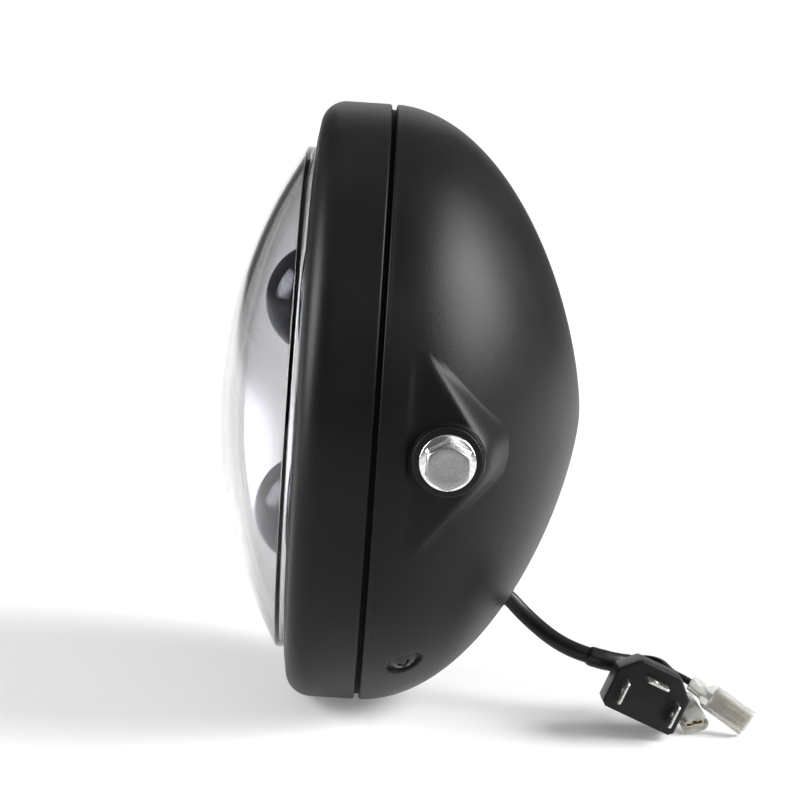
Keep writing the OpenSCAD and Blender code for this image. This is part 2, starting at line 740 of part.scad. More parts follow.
// The driver board between the projectors, on the housing's floor.
module driver_board() {
    color([0.1, 0.35, 0.2])
    difference() {
        translate([-driver_w / 2, floor_a - bolt_back - driver_t, -driver_h / 2])
            cube([driver_w, driver_t, driver_h]);
        on_axis() translate([0, 0, floor_a - 3]) cylinder(h = 6, r = gland_r + 1.5, $fn = 48);
    }
    color([0.15, 0.15, 0.15])
    for (part = [[-0.4, 0.1, 0.16, 0.28, 5], [-0.4, -0.4, 0.12, 0.28, 4], [0.25, -0.36, 0.18, 0.25, 6],
            [0.24, 0.1, 0.14, 0.28, 3]])
        translate([part[0] * driver_w, floor_a - bolt_back - driver_t - part[4], part[1] * driver_h])
            cube([part[2] * driver_w, part[4] + 0.01, part[3] * driver_h]);
}

// A projector's collar: a short turned tube with a flange behind the bezel and a bore that seats the glass.
module collar(side) {
    color([0.13, 0.13, 0.14])
    at_projector(side)
        rotate_extrude($fn = 64)
            polygon([[collar_in, collar_front + 0.4], [collar_in + 0.6, collar_front],
                [collar_r - 0.8, collar_front + 0.4], [collar_r, collar_front + 1.8],
                [collar_r, plate_a + plate_t], [collar_flange_r, plate_a + plate_t],
                [collar_flange_r, collar_back], [seat_in, collar_back], [seat_in, glass_back_a],
                [collar_in, glass_back_a]]);
}

// A projector's glass: flat at the back, with a short edge and a domed front.
module glass(side) {
    color([0.35, 0.45, 0.75, 0.6])
    at_projector(side)
        intersection() {
            translate([0, 0, -glass_front + glass_ball_r]) sphere(r = glass_ball_r, $fn = 96);
            translate([0, 0, -glass_front - 1])
                cylinder(h = glass_rise + glass_edge_t + 1, r = glass_r, $fn = 64);
        }
}

// The bright ring that holds the glass in its collar.
module retainer(side) {
    color([0.85, 0.85, 0.87])
    at_projector(side)
        rotate_extrude($fn = 64)
            polygon([[glass_r + 0.05, glass_edge_a - 0.2], [collar_in - 0.05, glass_edge_a - 0.2],
                [collar_in - 0.05, glass_edge_a - 1.6], [glass_r - 0.4, glass_edge_a - 1.8]]);
}

// A projector's bright bowl behind its glass, open at both ends.
module reflector(side) {
    n = 10;
    front_r = seat_in - 0.3;
    function bowl(t, w) = [bowl_small_r + w + (front_r - bowl_small_r - bowl_wall) * cos(t),
        collar_back + 1 + (bowl_back - collar_back - 1) * sin(t)];
    color([0.9, 0.9, 0.92])
    at_projector(side)
        rotate_extrude($fn = 64)
            polygon(concat(
                [[collar_flange_r - 1, collar_back], [collar_flange_r - 1, collar_back + 1]],
                [for (i = [0 : n]) bowl(90 * i / n, bowl_wall)],
                [for (i = [n : -1 : 0]) bowl(90 * i / n, 0)],
                [[front_r - bowl_wall, collar_back]]));
}

module led_board(side) {
    color([0.92, 0.92, 0.9])
    translate([0, floor_a - bolt_back, side * projector_z - projector_drop]) rotate([90, 0, 0]) {
        translate([-led_board_w / 2, -led_board_w / 2, 0]) cube([led_board_w, led_board_w, led_board_t]);
        translate([-led_w / 2, -led_w / 2, led_board_t - 0.05]) cube([led_w, led_w, led_h + 0.05]);
    }
}

module upper_collar() { collar(1); }
module lower_collar() { collar(-1); }
module upper_glass() { glass(1); }
module lower_glass() { glass(-1); }
module upper_retainer() { retainer(1); }
module lower_retainer() { retainer(-1); }
module upper_reflector() { reflector(1); }
module lower_reflector() { reflector(-1); }
module upper_led_board() { led_board(1); }
module lower_led_board() { led_board(-1); }

// The rubber gland in the housing's back.
module lamp_gland() {
    color([0.05, 0.05, 0.05])
    on_axis()
        rotate_extrude($fn = 48)
            polygon([[sheath_d / 2, floor_a], [gland_r, floor_a], [gland_r, housing_back + neck_h],
                [gland_r + 2, housing_back + neck_h], [gland_r + 1, housing_back + neck_h + gland_h],
                [sheath_d / 2, housing_back + neck_h + gland_h]]);
}

// The lead inside the bucket, from the gland to the grommet.
module inner_lead() {
    start = [0, floor_a - bolt_back, 0];
    gland_end = [0, housing_back + neck_h + gland_h + 1.5 - bolt_back, 0];
    color([0.06, 0.06, 0.06])
    swept_tube(
        concat([start, gland_end], inner_route, [out_of_exit(lead_start - 3), out_of_exit(lead_start)]),
        sheath_d, 10, [1, 0, 0], [0, 1, 0], exit_dir);
}

// The rubber grommet: two lips with the bucket's sheet between them.
module grommet() {
    color([0.05, 0.05, 0.05])
    at_exit()
        rotate_extrude($fn = 48)
            polygon([[sheath_d / 2, -sheet - grommet_in], [grommet_r - 0.8, -sheet - grommet_in],
                [grommet_r, -sheet - grommet_in + 0.8], [grommet_r, -sheet - grommet_seat],
                [grommet_hole_r - 0.05, -sheet - grommet_seat], [grommet_hole_r - 0.05, grommet_seat],
                [grommet_r - 0.6, grommet_seat], [grommet_r - 1, grommet_seat + grommet_lip],
                [sheath_d / 2, grommet_seat + grommet_lip]]);
}

module sheath() {
    color([0.06, 0.06, 0.06])
    swept_tube(concat([out_of_exit(lead_start), out_of_exit(0.6)], sheath_route, [sleeve_start]),
        sheath_d, 12, [1, 0, 0], exit_dir, sleeve_start_dir);
}

module shrink_sleeve() {
    color([0.05, 0.05, 0.05])
    swept_tube(concat([sleeve_start], sleeve_route, [sleeve_end]),
        sleeve_d, 12, [1, 0, 0], sleeve_start_dir, sleeve_end_dir);
}

module plug_wires() {
    color([0.06, 0.06, 0.06])
    for (route = plug_wire_routes)
        swept_tube(route, wire_d, 8, [0, 0, 1], sleeve_end_dir, plug_point([1, 0, 0]) - plug_face);
}

module spade_wire(route, end_dir) {
    color([0.06, 0.06, 0.06])
    swept_tube(route, wire_d, 8, [0.2, 0, 1], sleeve_end_dir, end_dir);
}

// The direction in which a connector drawn along X points once it is turned about X, Y and Z.
function pointing(turn) = [cos(turn[1]) * cos(turn[2]), cos(turn[1]) * sin(turn[2]), -sin(turn[1])];

module upper_spade_wire() { spade_wire(upper_wire_route, pointing(upper_spade_turn)); }
module lower_spade_wire() { spade_wire(lower_wire_route, pointing(lower_spade_turn)); }

// The plug's own frame: the face looks along X, up is Z.
module at_plug() {
    translate(plug_face) rotate([-plug_roll, 0, 0]) rotate([0, -plug_pitch, 0]) children();
}

// A plug's outline as seen from the front, with Y to the right and Z up.
function plug_outline(inset) =
    let (w = plug_w / 2 - inset, top = plug_h - plug_low - inset, low = plug_low - inset)
    [[-w, top - plug_chamfer], [-w + plug_chamfer, top], [w - plug_chamfer, top], [w, top - plug_chamfer],
        [w, -low + plug_foot_chamfer], [w - plug_foot_chamfer, -low], [-w + plug_foot_chamfer, -low],
        [-w, -low + plug_foot_chamfer]];

module plug_slab(x, t, inset) {
    translate([x, 0, 0]) rotate([90, 0, 90]) linear_extrude(t) polygon(plug_outline(inset));
}

// Where each blade stands on the plug's face: its place and its turn.
module at_blades() {
    translate([0, 0, top_blade_z]) children();
    for (side = [-1, 1])
        translate([0, side * side_blade_y, side_blade_z]) rotate([90, 0, 0]) children();
}

module plug_body() {
    color([0.07, 0.07, 0.075])
    at_plug()
        difference() {
            union() {
                plug_slab(-plug_depth * 0.6, plug_depth * 0.6, 0);
                hull() {
                    plug_slab(-plug_depth * 0.6 - 0.05, 0.1, 0);
                    plug_slab(-plug_depth, 0.1, 2.2);
                }
            }
            at_blades()
                translate([-blade_root, -blade_w / 2 - pocket_slack, -blade_t / 2 - pocket_slack])
                    cube([blade_root + 1, blade_w + 2 * pocket_slack, blade_t + 2 * pocket_slack]);
        }
}

module plug_blades() {
    color([0.78, 0.78, 0.76])
    at_plug()
        at_blades()
            translate([0, 0, -blade_t / 2])
                linear_extrude(blade_t)
                    difference() {
                        polygon([[-blade_root, -blade_w / 2], [blade_len - blade_point, -blade_w / 2],
                            [blade_len, -blade_w / 2 + blade_point], [blade_len, blade_w / 2 - blade_point],
                            [blade_len - blade_point, blade_w / 2], [-blade_root, blade_w / 2]]);
                        translate([blade_len * 0.55, 0]) circle(d = blade_hole_d, $fn = small_fn);
                    }
}

// Puts a connector drawn along X, with its wire end at zero, where its wire stops.
module at_wire_end(route, turn) {
    translate(route[len(route) - 1]) rotate(turn) children();
}

// A rounded flat bar along X for the sleeve's body: two rods side by side.
module spade_bar(from, to, w, t) {
    for (side = [-1, 1]) translate([0, side * (w - t) / 2, 0]) along_x(from, to, t, 24);
}

// The clear sleeve over a spade connector: a round neck round the wire, a shoulder and a flat body that is
// open at its mouth.
module spade_sleeve() {
    body_from = spade_neck_len + spade_shoulder;
    body_to = body_from + spade_len;
    w = spade_w;
    t = spade_t;
    color([0.85, 0.86, 0.84, 0.6])
    difference() {
        union() {
            along_x(0, spade_neck_len, spade_neck_d, 24);
            hull() {
                along_x(spade_neck_len - 0.1, spade_neck_len, spade_neck_d, 24);
                spade_bar(body_from, body_from + 0.1, w, t);
            }
            hull() spade_bar(body_from, body_to, w, t);
        }
        hull() spade_bar(body_from + 0.6, body_to + 1, w - 2 * spade_wall, t - 2 * spade_wall);
        along_x(-1, body_from + 1, wire_d + thread_slack, 24);
    }
}

// The folded brass terminal inside a sleeve: a flat box with a slot along it and two rolled edges.
module spade_terminal() {
    body_from = spade_neck_len + spade_shoulder;
    from = body_from + spade_len - spade_mouth_depth - terminal_len;
    color([0.75, 0.68, 0.5])
    difference() {
        translate([from, -terminal_w / 2, -terminal_t / 2]) cube([terminal_len, terminal_w, terminal_t]);
        translate([from + 2, -terminal_w / 2 + 0.7, -terminal_t / 2 + 0.5])
            cube([terminal_len, terminal_w - 1.4, terminal_slot]);
        translate([from - 1, -0.5, terminal_t / 2 - 1]) cube([terminal_len + 2, 1, 2]);
    }
}

module upper_spade_sleeve() { at_wire_end(upper_wire_route, upper_spade_turn) spade_sleeve(); }
module lower_spade_sleeve() { at_wire_end(lower_wire_route, lower_spade_turn) spade_sleeve(); }
module upper_spade_terminal() { at_wire_end(upper_wire_route, upper_spade_turn) spade_terminal(); }
module lower_spade_terminal() { at_wire_end(lower_wire_route, lower_spade_turn) spade_terminal(); }

bucket();
trim_ring();
clamp_posts();
clamp_ring();
clamp_screws();
ring_tabs();
ring_nuts();
ring_screws();
mount_bolt_right();
mount_bolt_left();
mount_washer_right();
mount_washer_left();
weld_nut_right();
weld_nut_left();
lens();
lens_gasket();
light_guide();
guide_board();
bezel();
lamp_housing();
driver_board();
upper_collar();
lower_collar();
upper_glass();
lower_glass();
upper_retainer();
lower_retainer();
upper_reflector();
lower_reflector();
upper_led_board();
lower_led_board();
lamp_gland();
inner_lead();
grommet();
sheath();
shrink_sleeve();
plug_wires();
plug_body();
plug_blades();
upper_spade_wire();
lower_spade_wire();
upper_spade_sleeve();
lower_spade_sleeve();
upper_spade_terminal();
lower_spade_terminal();
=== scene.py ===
# %% [markdown]
# # A round motorcycle headlight
# The lamp is a deep black steel bucket with a clear domed lens at the front, held in its bracket by two
# side bolts. Its lead hangs out of the bucket and ends in a plug and two spade connectors. The packed
# solids are the frame: every surface here is worked out round them in millimetres, and rides on them.

import bmesh
import bpy
import numpy as np
from mathutils import Matrix, Vector


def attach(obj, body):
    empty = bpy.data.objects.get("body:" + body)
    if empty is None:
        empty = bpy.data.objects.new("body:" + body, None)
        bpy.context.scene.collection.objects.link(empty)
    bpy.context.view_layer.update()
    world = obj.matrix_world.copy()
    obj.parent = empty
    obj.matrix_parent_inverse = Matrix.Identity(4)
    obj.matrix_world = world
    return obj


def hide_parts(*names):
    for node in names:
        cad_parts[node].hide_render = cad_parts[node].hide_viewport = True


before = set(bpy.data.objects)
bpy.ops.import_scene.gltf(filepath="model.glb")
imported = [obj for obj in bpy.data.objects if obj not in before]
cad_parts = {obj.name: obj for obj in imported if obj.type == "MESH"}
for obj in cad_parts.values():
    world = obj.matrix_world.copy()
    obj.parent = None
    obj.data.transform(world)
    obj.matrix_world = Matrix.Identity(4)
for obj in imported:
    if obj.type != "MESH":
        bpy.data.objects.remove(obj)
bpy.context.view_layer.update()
MM = 0.001

# %% [markdown]
# ## Camera
# A long lens far from the lamp keeps its circles almost true. The camera stands on the lamp's right, a
# little above it, and is rolled a few degrees. A camera's own axes are columns of its rotation: right, up
# and back.

# %% The camera
CAMERA_AWAY = 1000.0
CAMERA_TURN = 0.9
CAMERA_RISE = 9.7
CAMERA_ROLL = 3.9
FOCAL_PIXELS = 2965.0
FRAME_PIXELS = 800.0
SENSOR = 36.0
BOLT_BACK = 22.5
SIDE_SHIFT = 8.4
UP_SHIFT = 0.5


def camera_axes(turn, rise, roll):
    """Right, up and back of a camera that looks at the lamp's right side: turned towards the front, raised
    and rolled by these angles in degrees."""
    t, e, f = np.radians([turn, rise, roll])
    back = np.array([np.cos(t) * np.cos(e), -np.sin(t) * np.cos(e), np.sin(e)])
    level = np.array([np.sin(t), np.cos(t), 0.0])
    upright = np.cross(back, level)
    right = np.cos(f) * level + np.sin(f) * upright
    up = -np.sin(f) * level + np.cos(f) * upright
    return right, up, back


right, up, back = camera_axes(CAMERA_TURN, CAMERA_RISE, CAMERA_ROLL)
eye = np.array([0.0, -BOLT_BACK, 0.0]) + SIDE_SHIFT * right + UP_SHIFT * up + CAMERA_AWAY * back
camera_data = bpy.data.cameras.new("camera")
camera_data.sensor_width = SENSOR
camera_data.lens = FOCAL_PIXELS / FRAME_PIXELS * SENSOR
camera = bpy.data.objects.new("camera", camera_data)
bpy.context.scene.collection.objects.link(camera)
camera.matrix_world = Matrix([
    [right[i], up[i], back[i], eye[i] * MM] for i in range(3)
] + [[0, 0, 0, 1]])
camera_data.clip_start, camera_data.clip_end = 0.05, 20.0
bpy.context.scene.camera = camera
print("camera at", eye, "lens", round(camera_data.lens, 1), "mm")

# %% [markdown]
# ## From a grid of numbers to a mesh
# Every new piece is a grid of points worked out by a formula: rows run along the piece and columns run
# round it. One function turns such a grid into a mesh. It joins the last column to the first, welds
# points that fall together at a pole, and turns all faces outwards.

# %% Grid to mesh


def skin(name, grid, loop=False, patch=False, outward=None):
    """A mesh over rows x columns of points in millimetres. Columns meet round the piece, and with loop the
    last row meets the first. A patch is open on all sides. Where outward is given as a point, an open shell's
    faces are turned to look away from it. The piece's UV map holds the distance along the columns and the
    way round, from 0 to 1."""
    rows, cols = grid.shape[:2]
    r0, c0 = np.meshgrid(np.arange(rows if loop else rows - 1), np.arange(cols - 1 if patch else cols),
                         indexing="ij")
    r0, c0 = r0.ravel(), c0.ravel()
    r1, c1 = (r0 + 1) % rows, (c0 + 1) % cols
    quads = np.stack([r0 * cols + c0, r0 * cols + c1, r1 * cols + c1, r1 * cols + c0], axis=1)
    mesh = bpy.data.meshes.new(name)
    mesh.from_pydata((grid.reshape(-1, 3) * MM).tolist(), [], quads.tolist())
    steps = np.linalg.norm(np.diff(grid, axis=0, append=grid[:1]), axis=2).mean(axis=1)
    along = np.concatenate([[0.0], np.cumsum(steps)]) * MM
    turn = (c0 + 1) / cols
    corners = np.stack([
        np.stack([along[r0], along[r0], along[r0 + 1], along[r0 + 1]], axis=1),
        np.stack([c0 / cols, turn, turn, c0 / cols], axis=1),
    ], axis=2)
    mesh.uv_layers.new(name="way").data.foreach_set("uv", corners.astype(np.float32).ravel())
    return settle(name, mesh, closed=outward is None, outward=outward)


def settle(name, mesh, closed=True, outward=None):
    """Welds the doubles of a mesh, turns its faces outwards, shades it smooth and puts it in the scene."""
    work = bmesh.new()
    work.from_mesh(mesh)
    bmesh.ops.remove_doubles(work, verts=work.verts, dist=1e-6)
    bmesh.ops.dissolve_degenerate(work, edges=work.edges, dist=1e-7)
    if closed:
        bmesh.ops.recalc_face_normals(work, faces=work.faces)
    work.to_mesh(mesh)
    work.free()
    if outward is not None:
        count = len(mesh.polygons)
        centres, normals = np.empty(count * 3), np.empty(count * 3)
        mesh.polygons.foreach_get("center", centres)
        mesh.polygons.foreach_get("normal", normals)
        away = centres.reshape(-1, 3) - np.array(outward) * MM
        if np.sum(away * normals.reshape(-1, 3)) < 0:
            mesh.flip_normals()
    mesh.polygons.foreach_set("use_smooth", np.ones(len(mesh.polygons), bool))
    mesh.update()
    piece = bpy.data.objects.new(name, mesh)
    bpy.context.scene.collection.objects.link(piece)
    print(f"{name}: {len(mesh.polygons)} faces")
    return piece


def joined(name, pieces):
    """One object made of several. The pieces keep their own faces and the first gives its place."""
    bpy.ops.object.select_all(action="DESELECT")
    for piece in pieces:
        piece.select_set(True)
    bpy.context.view_layer.objects.active = pieces[0]
    bpy.ops.object.join()
    pieces[0].name = name
    return pieces[0]


# %% Outlines and turning


def arc(cx, cy, radius, start, stop, count):
    """Points on a circle's arc from start to stop, in degrees."""
    t = np.radians(np.linspace(start, stop, count))
    return np.stack([cx + radius * np.cos(t), cy + radius * np.sin(t)], axis=1)


def rounded(outline, radii, count=5):
    """A closed outline with each corner replaced by an arc that touches both of its sides. A radius of 0
    keeps the corner sharp."""
    outline = np.array(outline, float)
    radii = np.broadcast_to(np.array(radii, float), len(outline))
    done = []
    for i, corner in enumerate(outline):
        before, after = outline[i - 1] - corner, outline[(i + 1) % len(outline)] - corner
        la, lb = np.linalg.norm(before), np.linalg.norm(after)
        before, after = before / la, after / lb
        half = np.arccos(np.clip(before @ after, -1, 1)) / 2
        if radii[i] <= 0 or half > 1.55:
            done.append(corner[None])
            continue
        reach = min(radii[i] / np.tan(half), 0.49 * la, 0.49 * lb)
        radius = reach * np.tan(half)
        bisector = before + after
        centre = corner + bisector / np.linalg.norm(bisector) * radius / np.sin(half)
        first, last = corner + before * reach - centre, corner + after * reach - centre
        t = np.linspace(0, 1, count)[:, None]
        spread = np.pi - 2 * half
        done.append(centre + (first * np.sin((1 - t) * spread) + last * np.sin(t * spread)) / np.sin(spread))
    return np.concatenate(done)


def spaced(outline, step, loop=True):
    """The same outline with its long straights cut into steps, so that smooth shading stays even."""
    ends = np.roll(outline, -1, axis=0) if loop else outline[1:]
    starts = outline if loop else outline[:-1]
    parts = []
    for a, b in zip(starts, ends):
        count = max(int(np.linalg.norm(b - a) / step), 1)
        parts.append(a + (b - a) * np.linspace(0, 1, count, endpoint=False)[:, None])
    return np.concatenate(parts if loop else parts + [outline[-1:]])


def repeated(values, cols):
    """A number for each row, repeated over all columns."""
    return np.repeat(np.asarray(values, float).reshape(-1, 1), cols, axis=1)


def turned(outline, cols=192, height=0.0):
    """The grid of an outline turned about the lamp's axis, or about one that much higher. The outline is
    given as radius and millimetres behind the seam, and a point at angle t lies at r cos t and r sin t."""
    t = np.linspace(0, 2 * np.pi, cols, endpoint=False)
    r, a = (repeated(column, cols) for column in np.array(outline).T)
    return np.stack([r * np.cos(t), a - BOLT_BACK, r * np.sin(t) + height], axis=2)


# %% Dressing a piece


def dress(piece, finish, slot, *nodes):
    """Gives a piece its finish and its place in the table: it rides on the one body and stands for nodes."""
    piece.data.materials.clear()
    piece.data.materials.append(finish)
    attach(piece, "root")
    if nodes:
        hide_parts(*nodes)
    return piece


# %% [markdown]
# ## Shader maths as plain arithmetic
# A finish is a tree of nodes. Wiring it by hand hides what it does, so one small class stands for a
# node's output and lets + - * / build the Math nodes. Colours and vectors must not go through Math nodes,
# which turn a colour grey, so they have their own two methods.

# %% Finish and Reading


class Reading:
    """What comes out of one node."""

    def __init__(self, finish, socket):
        self.finish, self.socket = finish, socket

    def math(self, operation, *others):
        """A Math node with this reading first."""
        return self.finish.node("ShaderNodeMath", {"operation": operation},
                                {i: v for i, v in enumerate((self,) + others)})

    def flipped(self, operation, other):
        """A Math node with this reading second, for expressions such as 1 - mask."""
        return self.finish.node("ShaderNodeMath", {"operation": operation}, {0: other, 1: self})

    def __add__(self, other): return self.math("ADD", other)
    def __sub__(self, other): return self.math("SUBTRACT", other)
    def __mul__(self, other): return self.math("MULTIPLY", other)
    def __truediv__(self, other): return self.math("DIVIDE", other)
    def __pow__(self, other): return self.math("POWER", other)
    def __rsub__(self, other): return self.flipped("SUBTRACT", other)
    def __rtruediv__(self, other): return self.flipped("DIVIDE", other)
    __radd__, __rmul__ = __add__, __mul__

    def spread(self, low, high, to_low=0.0, to_high=1.0):
        """Maps low..high to to_low..to_high with a soft S curve, and holds the ends."""
        return self.finish.node("ShaderNodeMapRange", {"interpolation_type": "SMOOTHSTEP"}, {
            "Value": self, "From Min": low, "From Max": high, "To Min": to_low, "To Max": to_high})


class Finish:
    """A material with one Principled shader. Every other node comes from node()."""

    def __init__(self, name, **uniform):
        self.material = bpy.data.materials.new(name)
        self.material.use_nodes = True
        self.tree = self.material.node_tree
        self.shader = next(n for n in self.tree.nodes if n.type == "BSDF_PRINCIPLED")
        for socket, value in uniform.items():
            self.shader.inputs[socket.replace("_", " ")].default_value = value

    def feed(self, socket, value):
        """Puts a number, a colour or a reading on a socket."""
        if isinstance(value, Reading):
            self.tree.links.new(value.socket, socket)
        elif hasattr(value, "__len__") and len(value) == 3 and hasattr(socket.default_value, "__len__") \
                and len(socket.default_value) == 4:
            socket.default_value = (*value, 1.0)
        else:
            socket.default_value = value

    def node(self, kind, settings=None, inputs=None, output=0):
        """A node of this kind: its settings first, then the values or links of its sockets."""
        made = self.tree.nodes.new(kind)
        for key, value in (settings or {}).items():
            setattr(made, key, value)
        for key, value in (inputs or {}).items():
            self.feed(made.inputs[key], value)
        return Reading(self, made.outputs[output])

    def place(self, scale=(1, 1, 1), by_way=False):
        """Where on the piece: Object coordinates, or the piece's own UV map, stretched by scale."""
        at = self.node("ShaderNodeTexCoord", output="UV" if by_way else "Object")
        return self.node("ShaderNodeMapping", None, {"Vector": at, "Scale": scale})

    def noise(self, scale, detail=3.0, rough=0.5, place=None):
        """Cloudy noise from 0 to 1. A scale of 1000 makes lumps of about a millimetre."""
        return self.node("ShaderNodeTexNoise", None, {
            "Vector": place or self.place(), "Scale": scale, "Detail": detail, "Roughness": rough})

    def mix(self, amount, first, second):
        """A colour that goes from first to second as amount goes from 0 to 1."""
        return self.node("ShaderNodeMix", {"data_type": "RGBA"}, {0: amount, 6: first, 7: second}, output=2)

    def colour(self, value):
        """Sets the base colour."""
        self.feed(self.shader.inputs["Base Color"], value)

    def roughness(self, value):
        """Sets the roughness: 0 is a mirror, 1 is chalk."""
        self.feed(self.shader.inputs["Roughness"], value)

    def bump(self, height, depth, strength=1.0):
        """Raises the surface by height, where 1 is depth in millimetres."""
        made = self.node("ShaderNodeBump", None, {
            "Height": height, "Distance": depth * MM, "Strength": strength})
        self.feed(self.shader.inputs["Normal"], made)


# %% [markdown]
# ## Finishes
# Each real finish has its own small marks: powder coat has the skin of an orange, zinc plating is cloudy,
# moulded plastic has a fine grain, and rubber is dull and a little uneven. They are made once here and
# used by the pieces below.

# %% Painted and plated metals


def powder_coat():
    """Satin black powder coat: fine orange peel and slightly uneven gloss."""
    f = Finish("powder_coat", Specular_IOR_Level=0.12)
    peel = f.noise(1100, 2.0, 0.45)
    cloud = f.noise(38, 3.0)
    f.colour(f.mix(cloud.spread(0.3, 0.7), (0.0060, 0.0061, 0.0064), (0.0080, 0.0081, 0.0085)))
    f.roughness(cloud.spread(0.25, 0.75, 0.35, 0.39) + peel * 0.03)
    f.bump(peel + f.noise(260, 2.0) * 0.7, 0.035)
    return f.material


def plated(name, light, dark, rough, cloud_scale=420.0, grain=0.02, metal=1.0):
    """Plated or cast metal: cloudy in colour and gloss, with a fine grain."""
    f = Finish(name, Metallic=metal)
    cloud = f.noise(cloud_scale, 4.0, 0.6)
    f.colour(f.mix(cloud.spread(0.35, 0.68), dark, light))
    f.roughness(cloud.spread(0.3, 0.7, rough + 0.08, rough - 0.05))
    f.bump(cloud + f.noise(2600, 2.0) * 0.4, grain)
    return f.material


def plastic(name, colour, rough, grain=0.012, grain_scale=2200.0, **uniform):
    """Moulded plastic or rubber: one colour with a faint drift, and a fine grain."""
    f = Finish(name, **uniform)
    drift = f.noise(60, 2.0)
    light = tuple(min(c * 1.25 + 0.002, 1.0) for c in colour)
    f.colour(f.mix(drift.spread(0.3, 0.7), colour, light))
    f.roughness(drift.spread(0.3, 0.7, rough - 0.03, rough + 0.04))
    f.bump(f.noise(grain_scale, 2.0), grain)
    return f.material


def bolt_zinc(top):
    """Bright zinc. Near the head's top the colour turns darker and blotchy, which is painted shade, and the
    gloss turns duller: top is the top's distance from the lamp's middle in millimetres."""
    f = Finish("zinc_bolt", Metallic=1.0)
    cloud = f.noise(900, 4.0, 0.65)
    apart = f.node("ShaderNodeSeparateXYZ", None, {0: f.place()})
    out = (apart * apart) ** 0.5
    # Painted shade: this mask marks the head's top, whose colour is darkened below; it also dulls the top's
    # gloss.
    dull_and_shaded_top = out.spread((top - 0.7) * MM, (top - 0.2) * MM)
    bright = f.mix(cloud.spread(0.3, 0.7), (0.64, 0.65, 0.66), (0.82, 0.83, 0.84))
    speck = f.noise(2300, 5.0, 0.7)
    # The top's dark blotchy colour is painted shade.
    painted_shade_colour = f.mix(speck.spread(0.3, 0.72), (0.24, 0.25, 0.26), (0.36, 0.36, 0.35))
    f.colour(f.mix(dull_and_shaded_top, bright, painted_shade_colour))
    f.roughness(cloud.spread(0.3, 0.7, 0.26, 0.18) + dull_and_shaded_top * 0.16)
    f.bump(cloud + f.noise(2600, 2.0) * 0.4, 0.02)
    return f.material


POWDER = powder_coat()
ZINC_BRIGHT = plated("zinc_bright", (0.80, 0.81, 0.82), (0.52, 0.53, 0.55), 0.24)
ZINC_STEEL = plated("zinc_steel", (0.62, 0.62, 0.60), (0.42, 0.42, 0.41), 0.36)
CAST = plated("cast_aluminium", (0.60, 0.61, 0.62), (0.42, 0.43, 0.44), 0.52, 700.0, 0.06)
CHROME = plated("chrome_trim", (0.86, 0.87, 0.88), (0.72, 0.73, 0.75), 0.12, 300.0, 0.004)
SMOKED = plated("smoked_chrome", (0.48, 0.46, 0.53), (0.44, 0.42, 0.49), 0.20, 9.0, 0.003)
BLADE_TIN = plated("blade_tin", (0.78, 0.77, 0.74), (0.58, 0.57, 0.54), 0.28, 900.0, 0.012)
TERMINAL = plated("terminal_tin", (0.74, 0.66, 0.46), (0.55, 0.48, 0.33), 0.30, 900.0, 0.012)
print("metals made")

# %% Plastics and rubber
WASHER = plastic("black_washer", (0.0030, 0.0030, 0.0033), 0.48, 0.02, 1500.0, Specular_IOR_Level=0.2)
SCREW = plastic("screw_black", (0.006, 0.006, 0.0065), 0.32, 0.02, 1400.0, Specular_IOR_Level=0.4)
BEZEL = plastic("bezel_black", (0.016, 0.016, 0.018), 0.42)
RUBBER = plastic("black_rubber", (0.014, 0.014, 0.015), 0.62, 0.03, 1200.0)
CABLE = plastic("cable_black", (0.0045, 0.0045, 0.005), 0.38, 0.02, 1500.0, Specular_IOR_Level=0.3)
SHRINK = plastic("shrink_black", (0.0045, 0.0045, 0.0045), 0.36, 0.03, 500.0, Specular_IOR_Level=0.35)
PLUG = plastic("plug_black", (0.0040, 0.0040, 0.0045), 0.40, 0.05, 1500.0, Specular_IOR_Level=0.3)
BOARD_WHITE = plastic("board_white", (0.80, 0.80, 0.77), 0.45)
BOARD_GREEN = plastic("board_green", (0.02, 0.13, 0.05), 0.40)
print("plastics made")

# %% Clear plastics and glass


def clear(name, tint, rough, ior):
    """Clear plastic or glass: it lets light through, with faint ripples left by the mould."""
    f = Finish(name, Transmission_Weight=1.0, IOR=ior)
    ripple = f.noise(24, 2.0)
    f.colour(f.mix(ripple.spread(0.3, 0.7), tint, tuple(min(c * 1.02, 1.0) for c in tint)))
    f.roughness(ripple.spread(0.3, 0.7, rough, rough + 0.006))
    f.bump(ripple, 0.02)
    return f.material


# Painted shade: the lens is tinted grey, which dims the pale paper seen through it.
CLEAR = clear("clear_lens", (0.75, 0.75, 0.76), 0.004, 1.30)
GUIDE = clear("light_guide", (0.90, 0.91, 0.93), 0.18, 1.49)


def milky_sleeve():
    """Milky soft vinyl: light passes, but scatters on the way, and it yellows a little where it is thick."""
    f = Finish("spade_clear", Transmission_Weight=0.74, IOR=1.42)
    cloud = f.noise(300, 3.0)
    f.colour(f.mix(cloud.spread(0.3, 0.7), (0.90, 0.90, 0.86), (0.95, 0.95, 0.92)))
    f.roughness(cloud.spread(0.3, 0.7, 0.17, 0.22))
    f.bump(cloud, 0.012)
    return f.material


MILKY = milky_sleeve()


def projector_glass():
    """Coated glass tinted almost black, a painted shade for the dark inside of the lamp seen through it, with
    a thin coat that reflects blue at the middle and violet at a slant.
    """
    f = Finish("projector_glass", Transmission_Weight=0.9, IOR=1.3, Coat_Weight=0.3, Coat_Roughness=0.02,
               Coat_IOR=1.5, Coat_Tint=(0.55, 0.62, 1.0, 1.0))
    wave = f.noise(30, 2.0)
    # Painted shade: the near-black tint stands in for the dark inside of the lamp seen through the glass.
    f.colour(f.mix(wave.spread(0.3, 0.7), (0.02, 0.02, 0.05), (0.03, 0.03, 0.07)))
    f.roughness(wave.spread(0.3, 0.7, 0.01, 0.03))
    f.bump(wave, 0.01)
    return f.material


